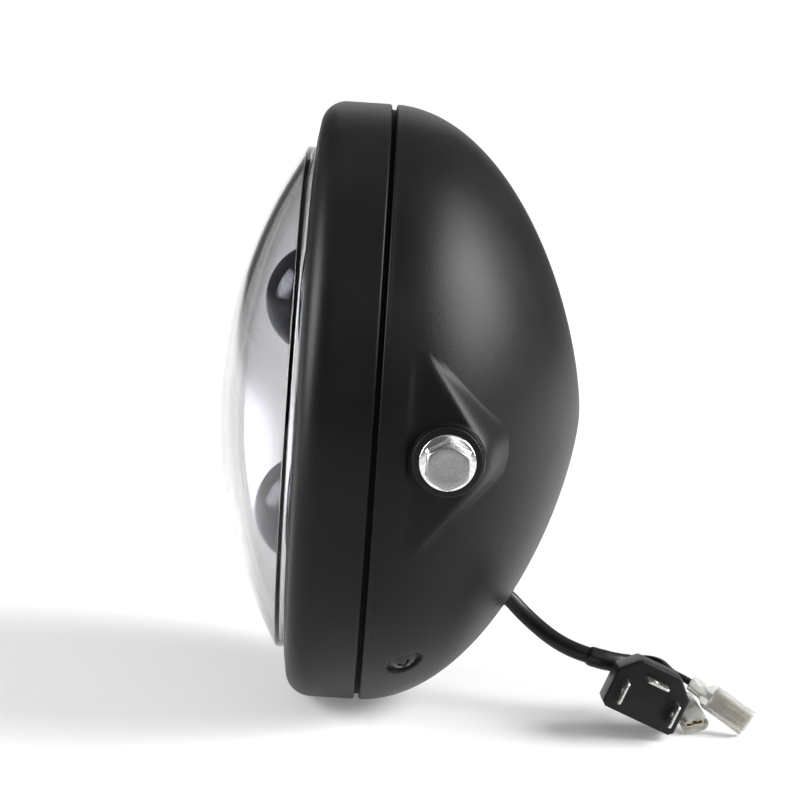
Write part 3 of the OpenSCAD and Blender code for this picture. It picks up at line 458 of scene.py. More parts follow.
PROJECTOR = projector_glass()
print("clear finishes made")

# %% [markdown]
# ## The lead and its wires
# A black sheath leaves the bucket through a rubber grommet low at the back, hangs to the floor and ends
# in a shrink sleeve, where four wires part: two go into the plug and two into spade connectors. A cord is
# one smooth curve, so the route's points from the part's source are joined by a cubic spline, whose bend
# never jumps, and a circle is carried along it.

# %% A smooth path and a tube along it


def unit(v):
    """A vector, or each row of vectors, cut to length 1."""
    v = np.asarray(v, float)
    return v / np.linalg.norm(v, axis=-1, keepdims=True)


def smooth_path(points, count, first=None, last=None):
    """A cubic spline through points: piecewise cubics with the same slope and bend where they meet. The slope
    at each point comes from one linear system, and first and last are the directions at the ends."""
    p = np.array(points, float)
    n = len(p)
    gap = np.linalg.norm(np.diff(p, axis=0), axis=1)
    knots = np.concatenate([[0.0], np.cumsum(gap)])
    system, wanted = np.zeros((n, n)), np.zeros((n, 3))
    for i in range(1, n - 1):
        system[i, i - 1:i + 2] = gap[i], 2 * (gap[i - 1] + gap[i]), gap[i - 1]
        wanted[i] = 3 * (gap[i] * (p[i] - p[i - 1]) / gap[i - 1] + gap[i - 1] * (p[i + 1] - p[i]) / gap[i])
    system[0, 0] = system[-1, -1] = 1.0
    wanted[0] = unit(first if first is not None else p[1] - p[0])
    wanted[-1] = unit(last if last is not None else p[-1] - p[-2])
    slope = np.linalg.solve(system, wanted)
    at = np.linspace(0, knots[-1], count)
    i = np.clip(np.searchsorted(knots, at, side="right") - 1, 0, n - 2)
    t = ((at - knots[i]) / gap[i])[:, None]
    g = gap[i][:, None]
    return ((2 * t**3 - 3 * t**2 + 1) * p[i] + (t**3 - 2 * t**2 + t) * g * slope[i]
            + (3 * t**2 - 2 * t**3) * p[i + 1] + (t**3 - t**2) * g * slope[i + 1])


def tube(name, path, radius, side_ref, cols=24, capped=True):
    """The skin of a round cord: a circle of that radius, square to the path at each point. A radius for each
    point makes it swell or taper. The ends close to a point."""
    ahead = unit(np.gradient(path, axis=0))
    across = unit(np.cross(ahead, side_ref))
    over = np.cross(ahead, across)
    t = np.linspace(0, 2 * np.pi, cols, endpoint=False)
    radius = np.broadcast_to(np.array(radius, float), len(path))[:, None, None]
    circle = np.cos(t)[:, None] * across[:, None] + np.sin(t)[:, None] * over[:, None]
    grid = path[:, None] + radius * circle
    if capped:
        ends = [np.broadcast_to(path[i], (1, cols, 3)) for i in (0, -1)]
        grid = np.concatenate([ends[0], grid, ends[1]])
    return skin(name, grid)


def length_of(path):
    """The length of a path in millimetres."""
    return float(np.linalg.norm(np.diff(path, axis=0), axis=1).sum())


# %% The route of the sheath
SHELL_R = 100.0
BUCKET_DEPTH = 69.0
BUCKET_POWER = 0.66


def bucket_r(a):
    """The bucket's radius so far behind the seam: R (1 - (a / depth)^2)^power."""
    return SHELL_R * np.clip(1 - (np.asarray(a, float) / BUCKET_DEPTH) ** 2, 0, 1) ** BUCKET_POWER


def bucket_tilt(a):
    """How far the bucket's wall leans towards the axis there, in radians."""
    return np.arctan((bucket_r(a - 0.01) - bucket_r(a + 0.01)) / 0.02)


EXIT_BACK = 48.5
exit_tilt = bucket_tilt(EXIT_BACK)
exit_point = np.array([0.0, EXIT_BACK - BOLT_BACK, -bucket_r(EXIT_BACK)])
exit_dir = np.array([0.0, np.sin(exit_tilt), -np.cos(exit_tilt)])
SHEATH_D = 5.6
SLEEVE_D = 6.9
WIRE_D = 2.4
SHEATH_SHARE = 0.80
INSIDE = 0.01

SLEEVE_START = np.array([12.0, 55.0, -80.0])
SLEEVE_END = np.array([8.5, 70.0, -83.2])
sleeve_end_dir = unit([-1.9, 4.0, -0.9])
drop = SLEEVE_START[2] - exit_point[2]
lead_points = [
    exit_point - exit_dir * 3.2, exit_point + exit_dir * 0.6,
    [0.5, 31.0, exit_point[2] + 0.26 * drop], [2.6, 36.0, exit_point[2] + 0.506 * drop],
    [6.2, 42.0, exit_point[2] + 0.735 * drop], [9.8, 48.5, exit_point[2] + 0.9 * drop],
    SLEEVE_START, [12.4, 61.0, -81.3], [11.2, 66.0, -82.3], SLEEVE_END]
lead_path = smooth_path(lead_points, 120, exit_dir, sleeve_end_dir)
lead_path = lead_path[length_of(lead_path[:2]) * np.arange(120) >= 3.0]
print("lead:", round(length_of(lead_path), 1), "mm from inside the grommet to the sleeve's end")

# %% The sheath and its shrink sleeve
sheath_end = int(len(lead_path) * SHEATH_SHARE)
sheath = dress(tube("lead_sheath", lead_path[:sheath_end], SHEATH_D / 2 - INSIDE, (1, 0, 0), 28), CABLE,
               "cable_black", "sheath")
sleeve_path = smooth_path([SLEEVE_START, [12.4, 61.0, -81.3], [11.2, 66.0, -82.3], SLEEVE_END], 44,
                          unit([1.2, 6.1, -1.6]), sleeve_end_dir)
way = np.linspace(0, 1, len(sleeve_path))
ripple = 0.05 * np.sin(way * 23.0) * np.exp(-way * 2)
shrunk = SLEEVE_D / 2 - 0.42 * np.exp(-way / 0.05) + ripple - 0.12 * way
shrunk[-3:] -= np.array([0.05, 0.2, 0.6])
sleeve = dress(tube("lead_shrink_sleeve", sleeve_path, np.minimum(shrunk, SLEEVE_D / 2), (1, 0, 0), 28),
               SHRINK, "shrink_black", "shrink_sleeve")

# %% [markdown]
# ## The plug
# The plug is a moulded block with two sloping upper corners and three flat blades, a headlamp plug. Its
# frame has the face along x and up along z, and one small rotation rolls and pitches it as it lies. The
# block is a loft: the same outline at several depths, shrunk a little at the front and back edges so that
# they are rounded.

# %% The plug's frame and outline
PLUG_FACE = np.array([41.5, 73.1, -85.9])
PLUG_ROLL, PLUG_PITCH = np.radians([22.0, 4.0])
PLUG_W, PLUG_H, PLUG_DEPTH = 26.0, 19.0, 20.0
PLUG_CHAMFER, PLUG_FOOT = 5.6, 1.4
BLADE_W, BLADE_T, BLADE_LEN, BLADE_ROOT = 8.0, 0.8, 8.5, 5.0
SIDE_BLADE_Y, SIDE_BLADE_Z = 9.2, -0.8
TOP_BLADE_Z = 6.4


def on_plug(points):
    """Turns points from the plug's own frame into the lamp's: pitched about y, then rolled about x."""
    p = np.asarray(points, float)
    c, s = np.cos(PLUG_PITCH), np.sin(PLUG_PITCH)
    x, z = p[..., 0] * c - p[..., 2] * s, p[..., 0] * s + p[..., 2] * c
    c, s = np.cos(PLUG_ROLL), np.sin(PLUG_ROLL)
    return PLUG_FACE + np.stack([x, p[..., 1] * c + z * s, -p[..., 1] * s + z * c], axis=-1)


def plug_outline(inset, radius=1.2):
    """The plug's outline seen from the front, as y and z: a block with sloping upper corners, drawn in by
    inset, with its corners rounded."""
    w, low = PLUG_W / 2 - inset, PLUG_H * 0.43 - inset
    top = PLUG_H * 0.57 - inset
    corners = [(-w, top - PLUG_CHAMFER), (-w + PLUG_CHAMFER, top), (w - PLUG_CHAMFER, top),
               (w, top - PLUG_CHAMFER), (w, -low + PLUG_FOOT), (w - PLUG_FOOT, -low),
               (-w + PLUG_FOOT, -low), (-w, -low + PLUG_FOOT)]
    return rounded(corners, [radius, radius, radius, radius, 0.6, 0.6, 0.6, 0.6], 7)


def at_x(x, outline):
    """An outline of y and z as points at one x."""
    return np.column_stack([np.full(len(outline), x), outline])


def loft(name, outlines, place):
    """A closed skin over outlines of the same number of points, each an x and an array of y and z, turned
    into place. The first and last close to their middle."""
    rows = [at_x(x, outline) for x, outline in outlines]
    first, last = [np.broadcast_to(r.mean(axis=0), r.shape) for r in (rows[0], rows[-1])]
    return skin(name, place(np.stack([first] + rows + [last])))


# %% The plug's body
PLUG_EDGE = 0.7
PLUG_STEP = -PLUG_DEPTH * 0.6
steps = np.linspace(0, np.pi / 2, 5)[::-1]
front = [(-PLUG_EDGE + PLUG_EDGE * np.sin(t), PLUG_EDGE * (1 - np.cos(t))) for t in steps]
behind = [(-PLUG_DEPTH * 0.35, 0), (PLUG_STEP, 0), (PLUG_STEP - 0.6, 0.1), (-PLUG_DEPTH + PLUG_EDGE, 2.1),
          (-PLUG_DEPTH + 0.3 * PLUG_EDGE, 2.35), (-PLUG_DEPTH, 2.9)]
body = [(x, plug_outline(inset)) for x, inset in front + behind]
plug = dress(loft("plug_housing", body, on_plug), PLUG, "plug_black", "plug_body")

# %% The plug's blades


def blade_grid(thick, offset):
    """A blade as a flat loop of its outline round a hole, for one face: columns run round, and the rows go
    from the hole out to the blade's edge."""
    cols = 96
    t = np.linspace(0, 2 * np.pi, cols, endpoint=False)
    centre = np.array([BLADE_LEN * 0.55, 0.0])
    hole = centre + 0.9 * np.column_stack([np.cos(t), np.sin(t)])
    x0, x1, w = -BLADE_ROOT, BLADE_LEN, BLADE_W / 2
    frame_line = rounded([(x0, -w), (x1, -w), (x1, w), (x0, w)], [0.2, 1.4, 1.4, 0.2], 6)
    frame_line = spaced(frame_line, 0.3)
    angle = np.arctan2(frame_line[:, 1] - centre[1], frame_line[:, 0] - centre[0]) % (2 * np.pi)
    order = np.argsort(angle)
    far = np.column_stack([
        np.interp(t, angle[order], frame_line[order, k], period=2 * np.pi) for k in (0, 1)])
    rows = [hole + (far - hole) * s for s in (0.0, 0.3, 0.7, 0.97)] + [far]
    lift = np.array([0.85, 1.0, 1.0, 1.0, 0.72]) * thick / 2 * offset
    return [np.column_stack([r, np.full(cols, z)]) for r, z in zip(rows, lift)]


def blade(name, stand):
    """One tinned blade: its two faces joined round the hole and round the edge. stand puts it on the plug."""
    upper, lower = blade_grid(BLADE_T, 1), blade_grid(BLADE_T, -1)
    return skin(name, stand(np.stack(upper + lower[::-1])), loop=True)


def lying(y, z):
    """Puts a blade on the plug with its flat side down, at this y and z."""
    return lambda p: on_plug(p + np.array([0, y, z]))


def standing(y, z):
    """Puts a blade on the plug on its edge, at this y and z."""
    return lambda p: on_plug(np.stack([p[..., 0], y - p[..., 2], z + p[..., 1]], axis=-1))


blades = joined("plug_blade_set", [
    blade("blade_top", lying(0, TOP_BLADE_Z)),
    blade("blade_left", standing(-SIDE_BLADE_Y, SIDE_BLADE_Z)),
    blade("blade_right", standing(SIDE_BLADE_Y, SIDE_BLADE_Z))])
dress(blades, BLADE_TIN, "blade_tin", "plug_blades")

# %% [markdown]
# ## The four wires
# The wires leave the shrink sleeve two above two and curve away. Each is a thin tube on its own spline,
# which starts a little inside the sleeve and ends inside the plug or a connector, so that no end shows.

# %% Wires
WIRE_SPREAD = 1.4
across_end = unit(np.cross(sleeve_end_dir, [0, 0, 1]))


def wire_start(side, level):
    """Where a wire leaves the sleeve: one of four places round its middle."""
    return SLEEVE_END + WIRE_SPREAD * (side * across_end - level * np.cross(sleeve_end_dir, across_end))


def wire(name, points, last, node=None):
    """One insulated wire, from inside the sleeve's end along its points."""
    path = smooth_path(points, 70, sleeve_end_dir, last)
    piece = tube(name, path, WIRE_D / 2 - INSIDE, (0.2, 0, 1), 18)
    return dress(piece, CABLE, "cable_black", *([node] if node else []))


plug_dir = on_plug([1.0, 0, 0]) - PLUG_FACE
wire_a_points = [wire_start(1, 1), [9.4, 73, -82], [10.2, 75.2, -82.2], [12, 76.8, -82.5],
                 [14.3, 77.4, -82.7], on_plug([-PLUG_DEPTH + 0.3, 3, 6])]
wire_b_points = [wire_start(1, -1), [9.4, 72.7, -85.4], [10.2, 74.8, -86.2], [12, 76.2, -87],
                 [14.3, 76.6, -87.7], on_plug([-PLUG_DEPTH + 0.3, 3.5, 0.4])]
wire_a = wire("plug_wire_a", wire_a_points, plug_dir, "plug_wires")
wire_b = wire("plug_wire_b", wire_b_points, plug_dir)


def turn_of(angles):
    """The rotation that turns first about x, then y, then z, in degrees."""
    x, y, z = np.radians(angles)
    rx = np.array([[1, 0, 0], [0, np.cos(x), -np.sin(x)], [0, np.sin(x), np.cos(x)]])
    ry = np.array([[np.cos(y), 0, np.sin(y)], [0, 1, 0], [-np.sin(y), 0, np.cos(y)]])
    rz = np.array([[np.cos(z), -np.sin(z), 0], [np.sin(z), np.cos(z), 0], [0, 0, 1]])
    return rz @ ry @ rx


upper_turn, lower_turn = turn_of([72.0, 27.0, 66.0]), turn_of([16.0, 15.7, 15.0])
upper_points = [wire_start(-1, 1), [6.2, 74, -81.5], [7.4, 78, -81.4], [10.8, 80.6, -81.6],
                [15.2, 81.8, -81.9], [19, 83.6, -82.6], [20.7, 86.4, -83.5], [21.5, 89.2, -84.8]]
lower_points = [wire_start(-1, -1), [5.4, 73.6, -85.6], [3.8, 77.6, -86.6], [3.2, 81.4, -87.6],
                [4.4, 83.6, -88.8], [7, 84.4, -89.4], [10.1, 85.1, -90.3]]
upper_wire = wire("upper_spade_lead", upper_points, upper_turn[:, 0], "upper_spade_wire")
lower_wire = wire("lower_spade_lead", lower_points, lower_turn[:, 0], "lower_spade_wire")

# %% [markdown]
# ## The spade connectors
# Each wire ends in a folded brass terminal inside a milky vinyl sleeve. The sleeve is a loft along the
# wire: a round neck, a shoulder, and a flat body whose mouth is open, so the wall is drawn going out
# along the outside and coming back along the inside.

# %% Sleeves
SPADE_W, SPADE_T, SPADE_LEN = 9.2, 5.4, 15.5
SPADE_WALL, SPADE_NECK_D, SPADE_NECK, SPADE_SHOULDER = 0.7, 5.4, 5.0, 3.0


def pill(w, t, count=48):
    """A flat bar's section: two half circles of diameter t joined by straights, w wide. Points are spread by
    angle, so that a circle and a pill have matching points."""
    a = np.linspace(0, 2 * np.pi, count, endpoint=False)
    y, z = np.cos(a) * t / 2, np.sin(a) * t / 2
    return np.column_stack([y + np.sign(np.cos(a)) * np.minimum(np.abs(np.cos(a)) * 6, 1) * (w - t) / 2, z])


def at_spade(turn, end):
    """Turns points from a connector's own frame into the lamp's, with its wire's end at end."""
    return lambda p: p @ turn.T + np.array(end)


def spade_sleeve(name, place):
    """The milky sleeve: outside from the wire to the mouth, round the lip, and back along the inside."""
    body = SPADE_NECK + SPADE_SHOULDER
    mouth = body + SPADE_LEN
    middle = (body + mouth) / 2
    neck, w, t = SPADE_NECK_D, SPADE_W, SPADE_T
    bore, wide, thick = WIRE_D + 0.1, SPADE_W - 2 * SPADE_WALL, SPADE_T - 2 * SPADE_WALL
    way = np.linspace(0, 1, 7)
    blend = way * way * (3 - 2 * way)
    rows = [(0.0, bore, bore), (0.0, neck - 0.7, neck - 0.7), (0.15, neck - 0.25, neck - 0.25),
            (0.5, neck, neck), (SPADE_NECK * 0.5, neck - 0.06, neck - 0.06)]
    rows += [(SPADE_NECK + SPADE_SHOULDER * u, neck + (w - neck) * b, neck + (t - neck) * b)
             for u, b in zip(way, blend)]
    rows += [(body + 2, w, t), (middle, w - 0.1, t), (mouth - 0.5, w, t), (mouth - 0.12, w - 0.1, t - 0.1),
             (mouth, w - 0.5, t - 0.5), (mouth, wide + 0.3, thick + 0.3), (mouth - 0.15, wide, thick),
             (middle, wide, thick), (body + 0.8, wide, thick), (body + 0.6, wide - 0.6, thick - 0.6),
             (body + 0.6, bore, bore)]
    grid = np.stack([at_x(x, pill(across, deep)) for x, across, deep in rows])
    return skin(name, place(grid), loop=True)


upper_sleeve = dress(spade_sleeve("upper_milky_sleeve", at_spade(upper_turn, upper_points[-1])), MILKY,
                     "spade_clear", "upper_spade_sleeve")
lower_sleeve = dress(spade_sleeve("lower_milky_sleeve", at_spade(lower_turn, lower_points[-1])), MILKY,
                     "spade_clear", "lower_spade_sleeve")

# %% Terminals
TERMINAL_W, TERMINAL_T, TERMINAL_LEN = 6.9, 2.2, 13.0


def spade_terminal(name, place):
    """The folded terminal: a flat strip whose two edges roll up and back over it. The section's middle line
    is a floor and two curls, and the strip has an even thickness on both sides of it."""
    w, t, wall = TERMINAL_W / 2 - 0.35, TERMINAL_T, 0.34
    curl = (t - 0.7) / 2
    bend = np.radians(np.linspace(-90, 100, 12))
    right_curl = np.column_stack([w - curl + curl * np.cos(bend), curl * np.sin(bend)])
    tip = right_curl[-1] + [-1.5, -0.16]
    half = np.concatenate([[[0.0, -curl]], [[w * 0.5, -curl]], right_curl, [tip]])
    line = np.concatenate([half[::-1] * [-1, 1], half[1:]])
    normal = unit(np.gradient(line, axis=0))[:, ::-1] * [-1, 1]
    section = np.concatenate([line + normal * wall / 2, (line - normal * wall / 2)[::-1]])
    end = SPADE_NECK + SPADE_SHOULDER + SPADE_LEN - 1.5
    start = end - TERMINAL_LEN
    rows = [(start, 0.93), (start + 0.2, 1.0), (end - 0.5, 1.0), (end - 0.15, 1.01), (end, 0.97)]
    grid = np.stack([at_x(x, section * k) for x, k in rows])
    piece = skin(name, place(grid))
    work = bmesh.new()
    work.from_mesh(piece.data)
    made = bmesh.ops.holes_fill(work, edges=work.edges, sides=0)["faces"]
    for face in made:
        face.smooth = False
        for edge in face.edges:
            edge.smooth = False
    bmesh.ops.recalc_face_normals(work, faces=work.faces)
    work.to_mesh(piece.data)
    work.free()
    print(name, "end faces:", len(made))
    return piece


upper_terminal = dress(spade_terminal("upper_folded_terminal", at_spade(upper_turn, upper_points[-1])),
                       TERMINAL, "terminal_tin", "upper_spade_terminal")
lower_terminal = dress(spade_terminal("lower_folded_terminal", at_spade(lower_turn, lower_points[-1])),
                       TERMINAL, "terminal_tin", "lower_spade_terminal")

# %% The sheath's path
sheath_path = lead_path[:sheath_end]
(lead_path[0] * MM).tolist()
(sheath_path * MM).tolist()
print("cord declared:", round(length_of(sheath_path), 1), "mm")

# %% [markdown]
# ## The bucket
# The real bucket is pressed from steel sheet: a deep dome, a leaf-shaped boss pushed out on each side for
# the bolts, and a small sunk cup for each ring screw. A plain turned surface can't hold such details
# finely, and a grid fine enough everywhere would be heavy. So the dome is a light turned grid with
# windows left out of it, and each boss and cup is a fine patch of its own over its window. A patch is
# worked out from the same radius formula, so at its edge it lies exactly on the dome. Solidify then gives
# every sheet its thickness.

# %% Values of the bucket
SHEET = 1.2
SEAM_HALF = 0.75
EDGE_R = 0.9
NECK_LEN = 8.0
NECK_R = 98.2
BOSS_FRONT = 13.0
BOSS_R = float(bucket_r(BOSS_FRONT))
BOSS_HALF_H = 33.0
BOSS_ROUND = 13.0
BOSS_TIP = 1.6
SEAT_X = BOSS_R + 0.8
SEAT_R = 11.4
WALL_SLOPE = 3.6
WALL_ROUND = 2.8
FOOT_FILLET = 2.8
DRAWN_IN = 1.0
SKIRT = 6.8
WINDOW_LAP = 3.3
BURIED_AT = 10.4
BOSS_SUNK = 0.5
BOLT_HOLE_R = 4.3
SEAT_EDGE = 12.05
FACE_EDGE = 0.8
SCREW_BACK = 14.7
SCREW_ANGLE = 49.3
CUP_R = 5.8
CUP_DEPTH = 1.6
CUP_RIM = 1.3
CUP_SKIRT = 10.0
CUP_LAP = 2.2
LEAD_HOLE_R = 4.2
PROUD = 0.006


def soft_max(a, b, width):
    """The larger of two, with a rounded join: where they differ by less than width, a quadratic bridges
    them."""
    near = np.clip(width - np.abs(a - b), 0, None) / width
    return np.maximum(a, b) + near * near * width / 4


def soft_ramp(d, width):
    """0 before -width, d after width, and a quadratic in between."""
    return np.where(d > width, d, np.where(d < -width, 0.0, (d + width) ** 2 / (4 * width)))


def smooth_step(d, low, high):
    """0 at low, 1 at high, and the S curve t^2 (3 - 2t) in between. Low may be the larger of the two."""
    t = np.clip((d - low) / (high - low), 0, 1)
    return t * t * (3 - 2 * t)


# %% The leaf outline


def leaf_outline(count):
    """The boss's outline as distance behind the seam and height: the tight band round five circles, which are
    the round end about the bolt, the two tips, and two ahead of the crease, where the boss is buried in the
    dome. Points are evenly spaced, and each has its outward direction."""
    circles = np.array([[BOLT_BACK, 0, BOSS_ROUND],
                        [BOSS_FRONT + BOSS_TIP, BOSS_HALF_H - BOSS_TIP, BOSS_TIP],
                        [BOSS_FRONT + BOSS_TIP, -BOSS_HALF_H + BOSS_TIP, BOSS_TIP],
                        [BURIED_AT, BOSS_HALF_H - BOSS_TIP, BOSS_TIP],
                        [BURIED_AT, -BOSS_HALF_H + BOSS_TIP, BOSS_TIP]])
    t = np.linspace(0, 2 * np.pi, 2880, endpoint=False)
    facing = np.column_stack([np.cos(t), np.sin(t)])
    reach = circles[:, :2] @ facing.T + circles[:, 2:]
    best = np.argmax(reach, axis=0)
    band = circles[best, :2] + circles[best, 2:] * facing
    line = np.concatenate([band, band[:1]])
    walked = np.concatenate([[0.0], np.cumsum(np.linalg.norm(np.diff(line, axis=0), axis=1))])
    at = np.linspace(0, walked[-1], count, endpoint=False)
    points = np.column_stack([np.interp(at, walked, line[:, k]) for k in (0, 1)])
    ahead = unit(np.roll(points, -1, axis=0) - np.roll(points, 1, axis=0))
    return points, np.column_stack([ahead[:, 1], -ahead[:, 0]])


def outside_leaf(a, z):
    """How far points are outside the leaf, negative inside: to its nearest outline point, with the sign of
    that point's outward side."""
    away = np.column_stack([np.ravel(a), np.ravel(z)])[:, None] - leaf[None]
    near = np.argmin((away ** 2).sum(axis=2), axis=1)
    nearest = away[np.arange(len(near)), near]
    return (nearest * leaf_out[near]).sum(axis=1).reshape(np.shape(a))


leaf, leaf_out = leaf_outline(264)
print("leaf outline:", leaf.min(axis=0).round(1), leaf.max(axis=0).round(1))

# %% The boss patch


def boss_patch(name, side):
    """A boss with its round flat seat. Rings run from the bolt hole out over the seat, the face, the rounded
    edge, the steep wall and the fillet at its foot, to the dome. At each point, d is how far it is outside
    the leaf; the boss's radius falls away beyond the leaf, and the surface is the soft maximum of boss and
    dome. The press also draws the dome in by DRAWN_IN just ahead of the boss, which makes the crease."""
    middle = np.array([BOLT_BACK, 0.0])
    spoke = unit(leaf - middle)
    seat_rings = np.concatenate([
        [BOLT_HOLE_R], np.linspace(5.5, 10.8, 4), np.linspace(11.1, 11.9, 6), [SEAT_EDGE]])
    rings = [middle + r * spoke for r in seat_rings]
    start, inner = middle + SEAT_EDGE * spoke, leaf - FACE_EDGE * leaf_out
    rings += [start + (inner - start) * s for s in (0.12, 0.25, 0.4, 0.55, 0.7, 0.8, 0.9, 1.0)]
    beyond = np.concatenate([np.linspace(-0.6, 1.2, 7), np.linspace(1.5, 5.4, 18), [5.9, 6.4, SKIRT]])
    rings += [leaf + step * leaf_out for step in beyond]
    flat = np.stack(rings)
    a, z = flat[..., 0], flat[..., 1]
    d = outside_leaf(a, z)
    d[-len(beyond):] = beyond[:, None]
    fillet = FOOT_FILLET * (0.35 + 0.65 * smooth_step(d, -1, 2))
    drawn = DRAWN_IN * smooth_step(a, 8.5, 13.5) * smooth_step(np.abs(z), 33, 22) * smooth_step(d, 0.5, -1.5)
    boss = BOSS_R - BOSS_SUNK - WALL_SLOPE * soft_ramp(d, WALL_ROUND)
    radius = soft_max(bucket_r(a) - drawn, boss, fillet)
    x = np.sqrt(radius ** 2 - z ** 2) + PROUD
    from_bolt = np.hypot(a - BOLT_BACK, z)
    x = x + (SEAT_X - x) * smooth_step(from_bolt, SEAT_R + 0.45, SEAT_R - 0.15)
    return skin(name, np.stack([side * x, a - BOLT_BACK, z], axis=2), outward=(0, a.mean() - BOLT_BACK, 0))


# %% The cup patch


def dome_point(a, turn):
    """A point of the dome so far behind the seam and so many radians round from +x towards +z."""
    r = bucket_r(a)
    return np.stack([r * np.cos(turn), a - BOLT_BACK, r * np.sin(turn)], axis=-1)


def cup_frame(side):
    """A ring screw's place on the dome and three directions: back along the wall, round it, and outwards."""
    turn = np.radians(-SCREW_ANGLE)
    tilt = bucket_tilt(SCREW_BACK)
    centre = dome_point(SCREW_BACK, turn)
    radial = np.array([np.cos(turn), 0.0, np.sin(turn)])
    axis = np.array([0.0, 1.0, 0.0])
    outward = radial * np.cos(tilt) + axis * np.sin(tilt)
    along = axis * np.cos(tilt) - radial * np.sin(tilt)
    flip = np.array([side, 1.0, 1.0])
    centre, outward, along = centre * flip, outward * flip, along * flip
    return centre, along, np.cross(outward, along), outward


def cup_patch(name, side):
    """A sunk cup: rings from the screw's hole over the flat floor, up the wall, over the rounded rim and out
    onto the dome. h is the dome's height over the flat plane at the screw, found by stepping towards it."""
    centre, along, round_, outward = cup_frame(side)
    bend = np.linspace(0.12, np.pi / 2, 8)
    rings = np.concatenate([[2.8, 4.4, 5.2, 5.5, 5.68, 5.76], np.full(3, CUP_R),
                            CUP_R + CUP_RIM * (1 - np.cos(bend)), [7.6, 8.4, 9.2, CUP_SKIRT]])
    depth = np.concatenate([[CUP_DEPTH, CUP_DEPTH, CUP_DEPTH, 1.57, 1.48, 1.36], [1.32, 1.25, 1.2],
                            CUP_RIM * (1 - np.sin(bend)), np.zeros(4)])
    t = np.linspace(0, 2 * np.pi, 96, endpoint=False)
    flat = centre + rings[:, None, None] * (np.cos(t)[:, None] * along + np.sin(t)[:, None] * round_)
    h = np.zeros(flat.shape[:2])
    for _ in range(6):
        at = flat + h[..., None] * outward
        h -= np.hypot(at[..., 0], at[..., 2]) - bucket_r(at[..., 1] + BOLT_BACK)
    keep = smooth_step(rings, CUP_R - 0.5, CUP_R + CUP_RIM)[:, None]
    height = h * keep - depth[:, None] + PROUD
    return skin(name, flat + height[..., None] * outward, outward=(0, SCREW_BACK - BOLT_BACK, 0))


# %% The dome with its windows


def bucket_dome(name):
    """The neck, the rounded edge at the seam and the dome, turned about the axis, with faces left out where
    the patches and the lead's hole are. A patch's border lies a hair above the dome, so no step shows."""
    cols = 200
    front = [[NECK_R, a] for a in np.linspace(-NECK_LEN, SEAM_HALF, 5)]
    front += [[NECK_R + 0.5, SEAM_HALF]]
    front += arc(SHELL_R - EDGE_R, SEAM_HALF + EDGE_R, EDGE_R, -90, -4, 6).tolist()
    t = np.linspace(0.0, 1.0, 84)
    a = SEAM_HALF + EDGE_R + (BUCKET_DEPTH - SEAM_HALF - EDGE_R) * np.sin(t * np.pi / 2) ** 0.92
    outline = np.concatenate([front, np.column_stack([bucket_r(a), a])])
    grid = turned(outline, cols)
    piece = skin(name, grid, outward=(0, 0, 0))
    work = bmesh.new()
    work.from_mesh(piece.data)
    middles = np.array([f.calc_center_median() for f in work.faces]) / MM
    a, z = middles[:, 1] + BOLT_BACK, middles[:, 2]
    drop_it = (np.abs(middles[:, 0]) > 60) & (outside_leaf(a, z) < SKIRT - WINDOW_LAP) & (a > 2)
    for side in (1, -1):
        drop_it |= np.linalg.norm(middles - cup_frame(side)[0], axis=1) < CUP_SKIRT - CUP_LAP
    drop_it |= np.linalg.norm(middles - exit_point, axis=1) < LEAD_HOLE_R
    work.faces.ensure_lookup_table()
    bmesh.ops.delete(work, geom=[work.faces[i] for i in np.flatnonzero(drop_it)], context="FACES")
    work.to_mesh(piece.data)
    work.free()
    return piece


SIDES = (("right", 1), ("left", -1))
patches = [draw(f"{part}_{name}", side) for part, draw in (("boss", boss_patch), ("cup", cup_patch))
           for name, side in SIDES]
bucket = joined("bucket_shell", [bucket_dome("bucket_dome")] + patches)
work = bmesh.new()
work.from_mesh(bucket.data)
for edge in work.edges:
    edge.smooth = not edge.is_boundary
work.to_mesh(bucket.data)
work.free()
wall = bucket.modifiers.new("sheet", "SOLIDIFY")
wall.thickness, wall.offset = SHEET * MM, -1.0
dress(bucket, POWDER, "powder_black", "bucket")
print("bucket:", len(bucket.data.polygons), "faces before its wall")

# %% [markdown]
# ## The trim ring
# One pressed ring clamps the lamp unit: a short drum, a generously rounded front corner, a face that
# leans gently forward and a lip rolled back inside. It is one closed outline, turned about the axis.

# %% The trim ring
RING_DEPTH = 24.8
RING_CORNER = 8.5
RING_SHEET = 1.5
OPENING_R = 85.5
LIP_BACK = RING_DEPTH - 4.6
corner_r, corner_a = SHELL_R - RING_CORNER, -RING_DEPTH + 0.8 + RING_CORNER
ring_outline = np.concatenate([
    [[SHELL_R - RING_SHEET, -SEAM_HALF - 0.1], [SHELL_R - RING_SHEET + 0.1, -SEAM_HALF]],
    arc(SHELL_R - EDGE_R, -SEAM_HALF - EDGE_R, EDGE_R, 90, 0, 8),
    spaced(np.array([[SHELL_R, -SEAM_HALF - EDGE_R - 0.3], [SHELL_R, corner_a + 0.3]]), 2.5, loop=False),
    arc(corner_r, corner_a, RING_CORNER, 0, -82, 26),
    arc(OPENING_R + 1.6, -RING_DEPTH + 1.6, 1.6, -88, -180, 12),
    [[OPENING_R, -LIP_BACK - 1.5], [OPENING_R, -LIP_BACK - 0.1], [OPENING_R + 0.1, -LIP_BACK],
     [OPENING_R + RING_SHEET, -LIP_BACK], [OPENING_R + RING_SHEET, -RING_DEPTH + RING_SHEET + 0.6]],
    arc(corner_r, corner_a, RING_CORNER - RING_SHEET, -80, 0, 12)])
dress(skin("ring_pressed", turned(ring_outline, 240), loop=True), POWDER, "powder_black", "trim_ring")

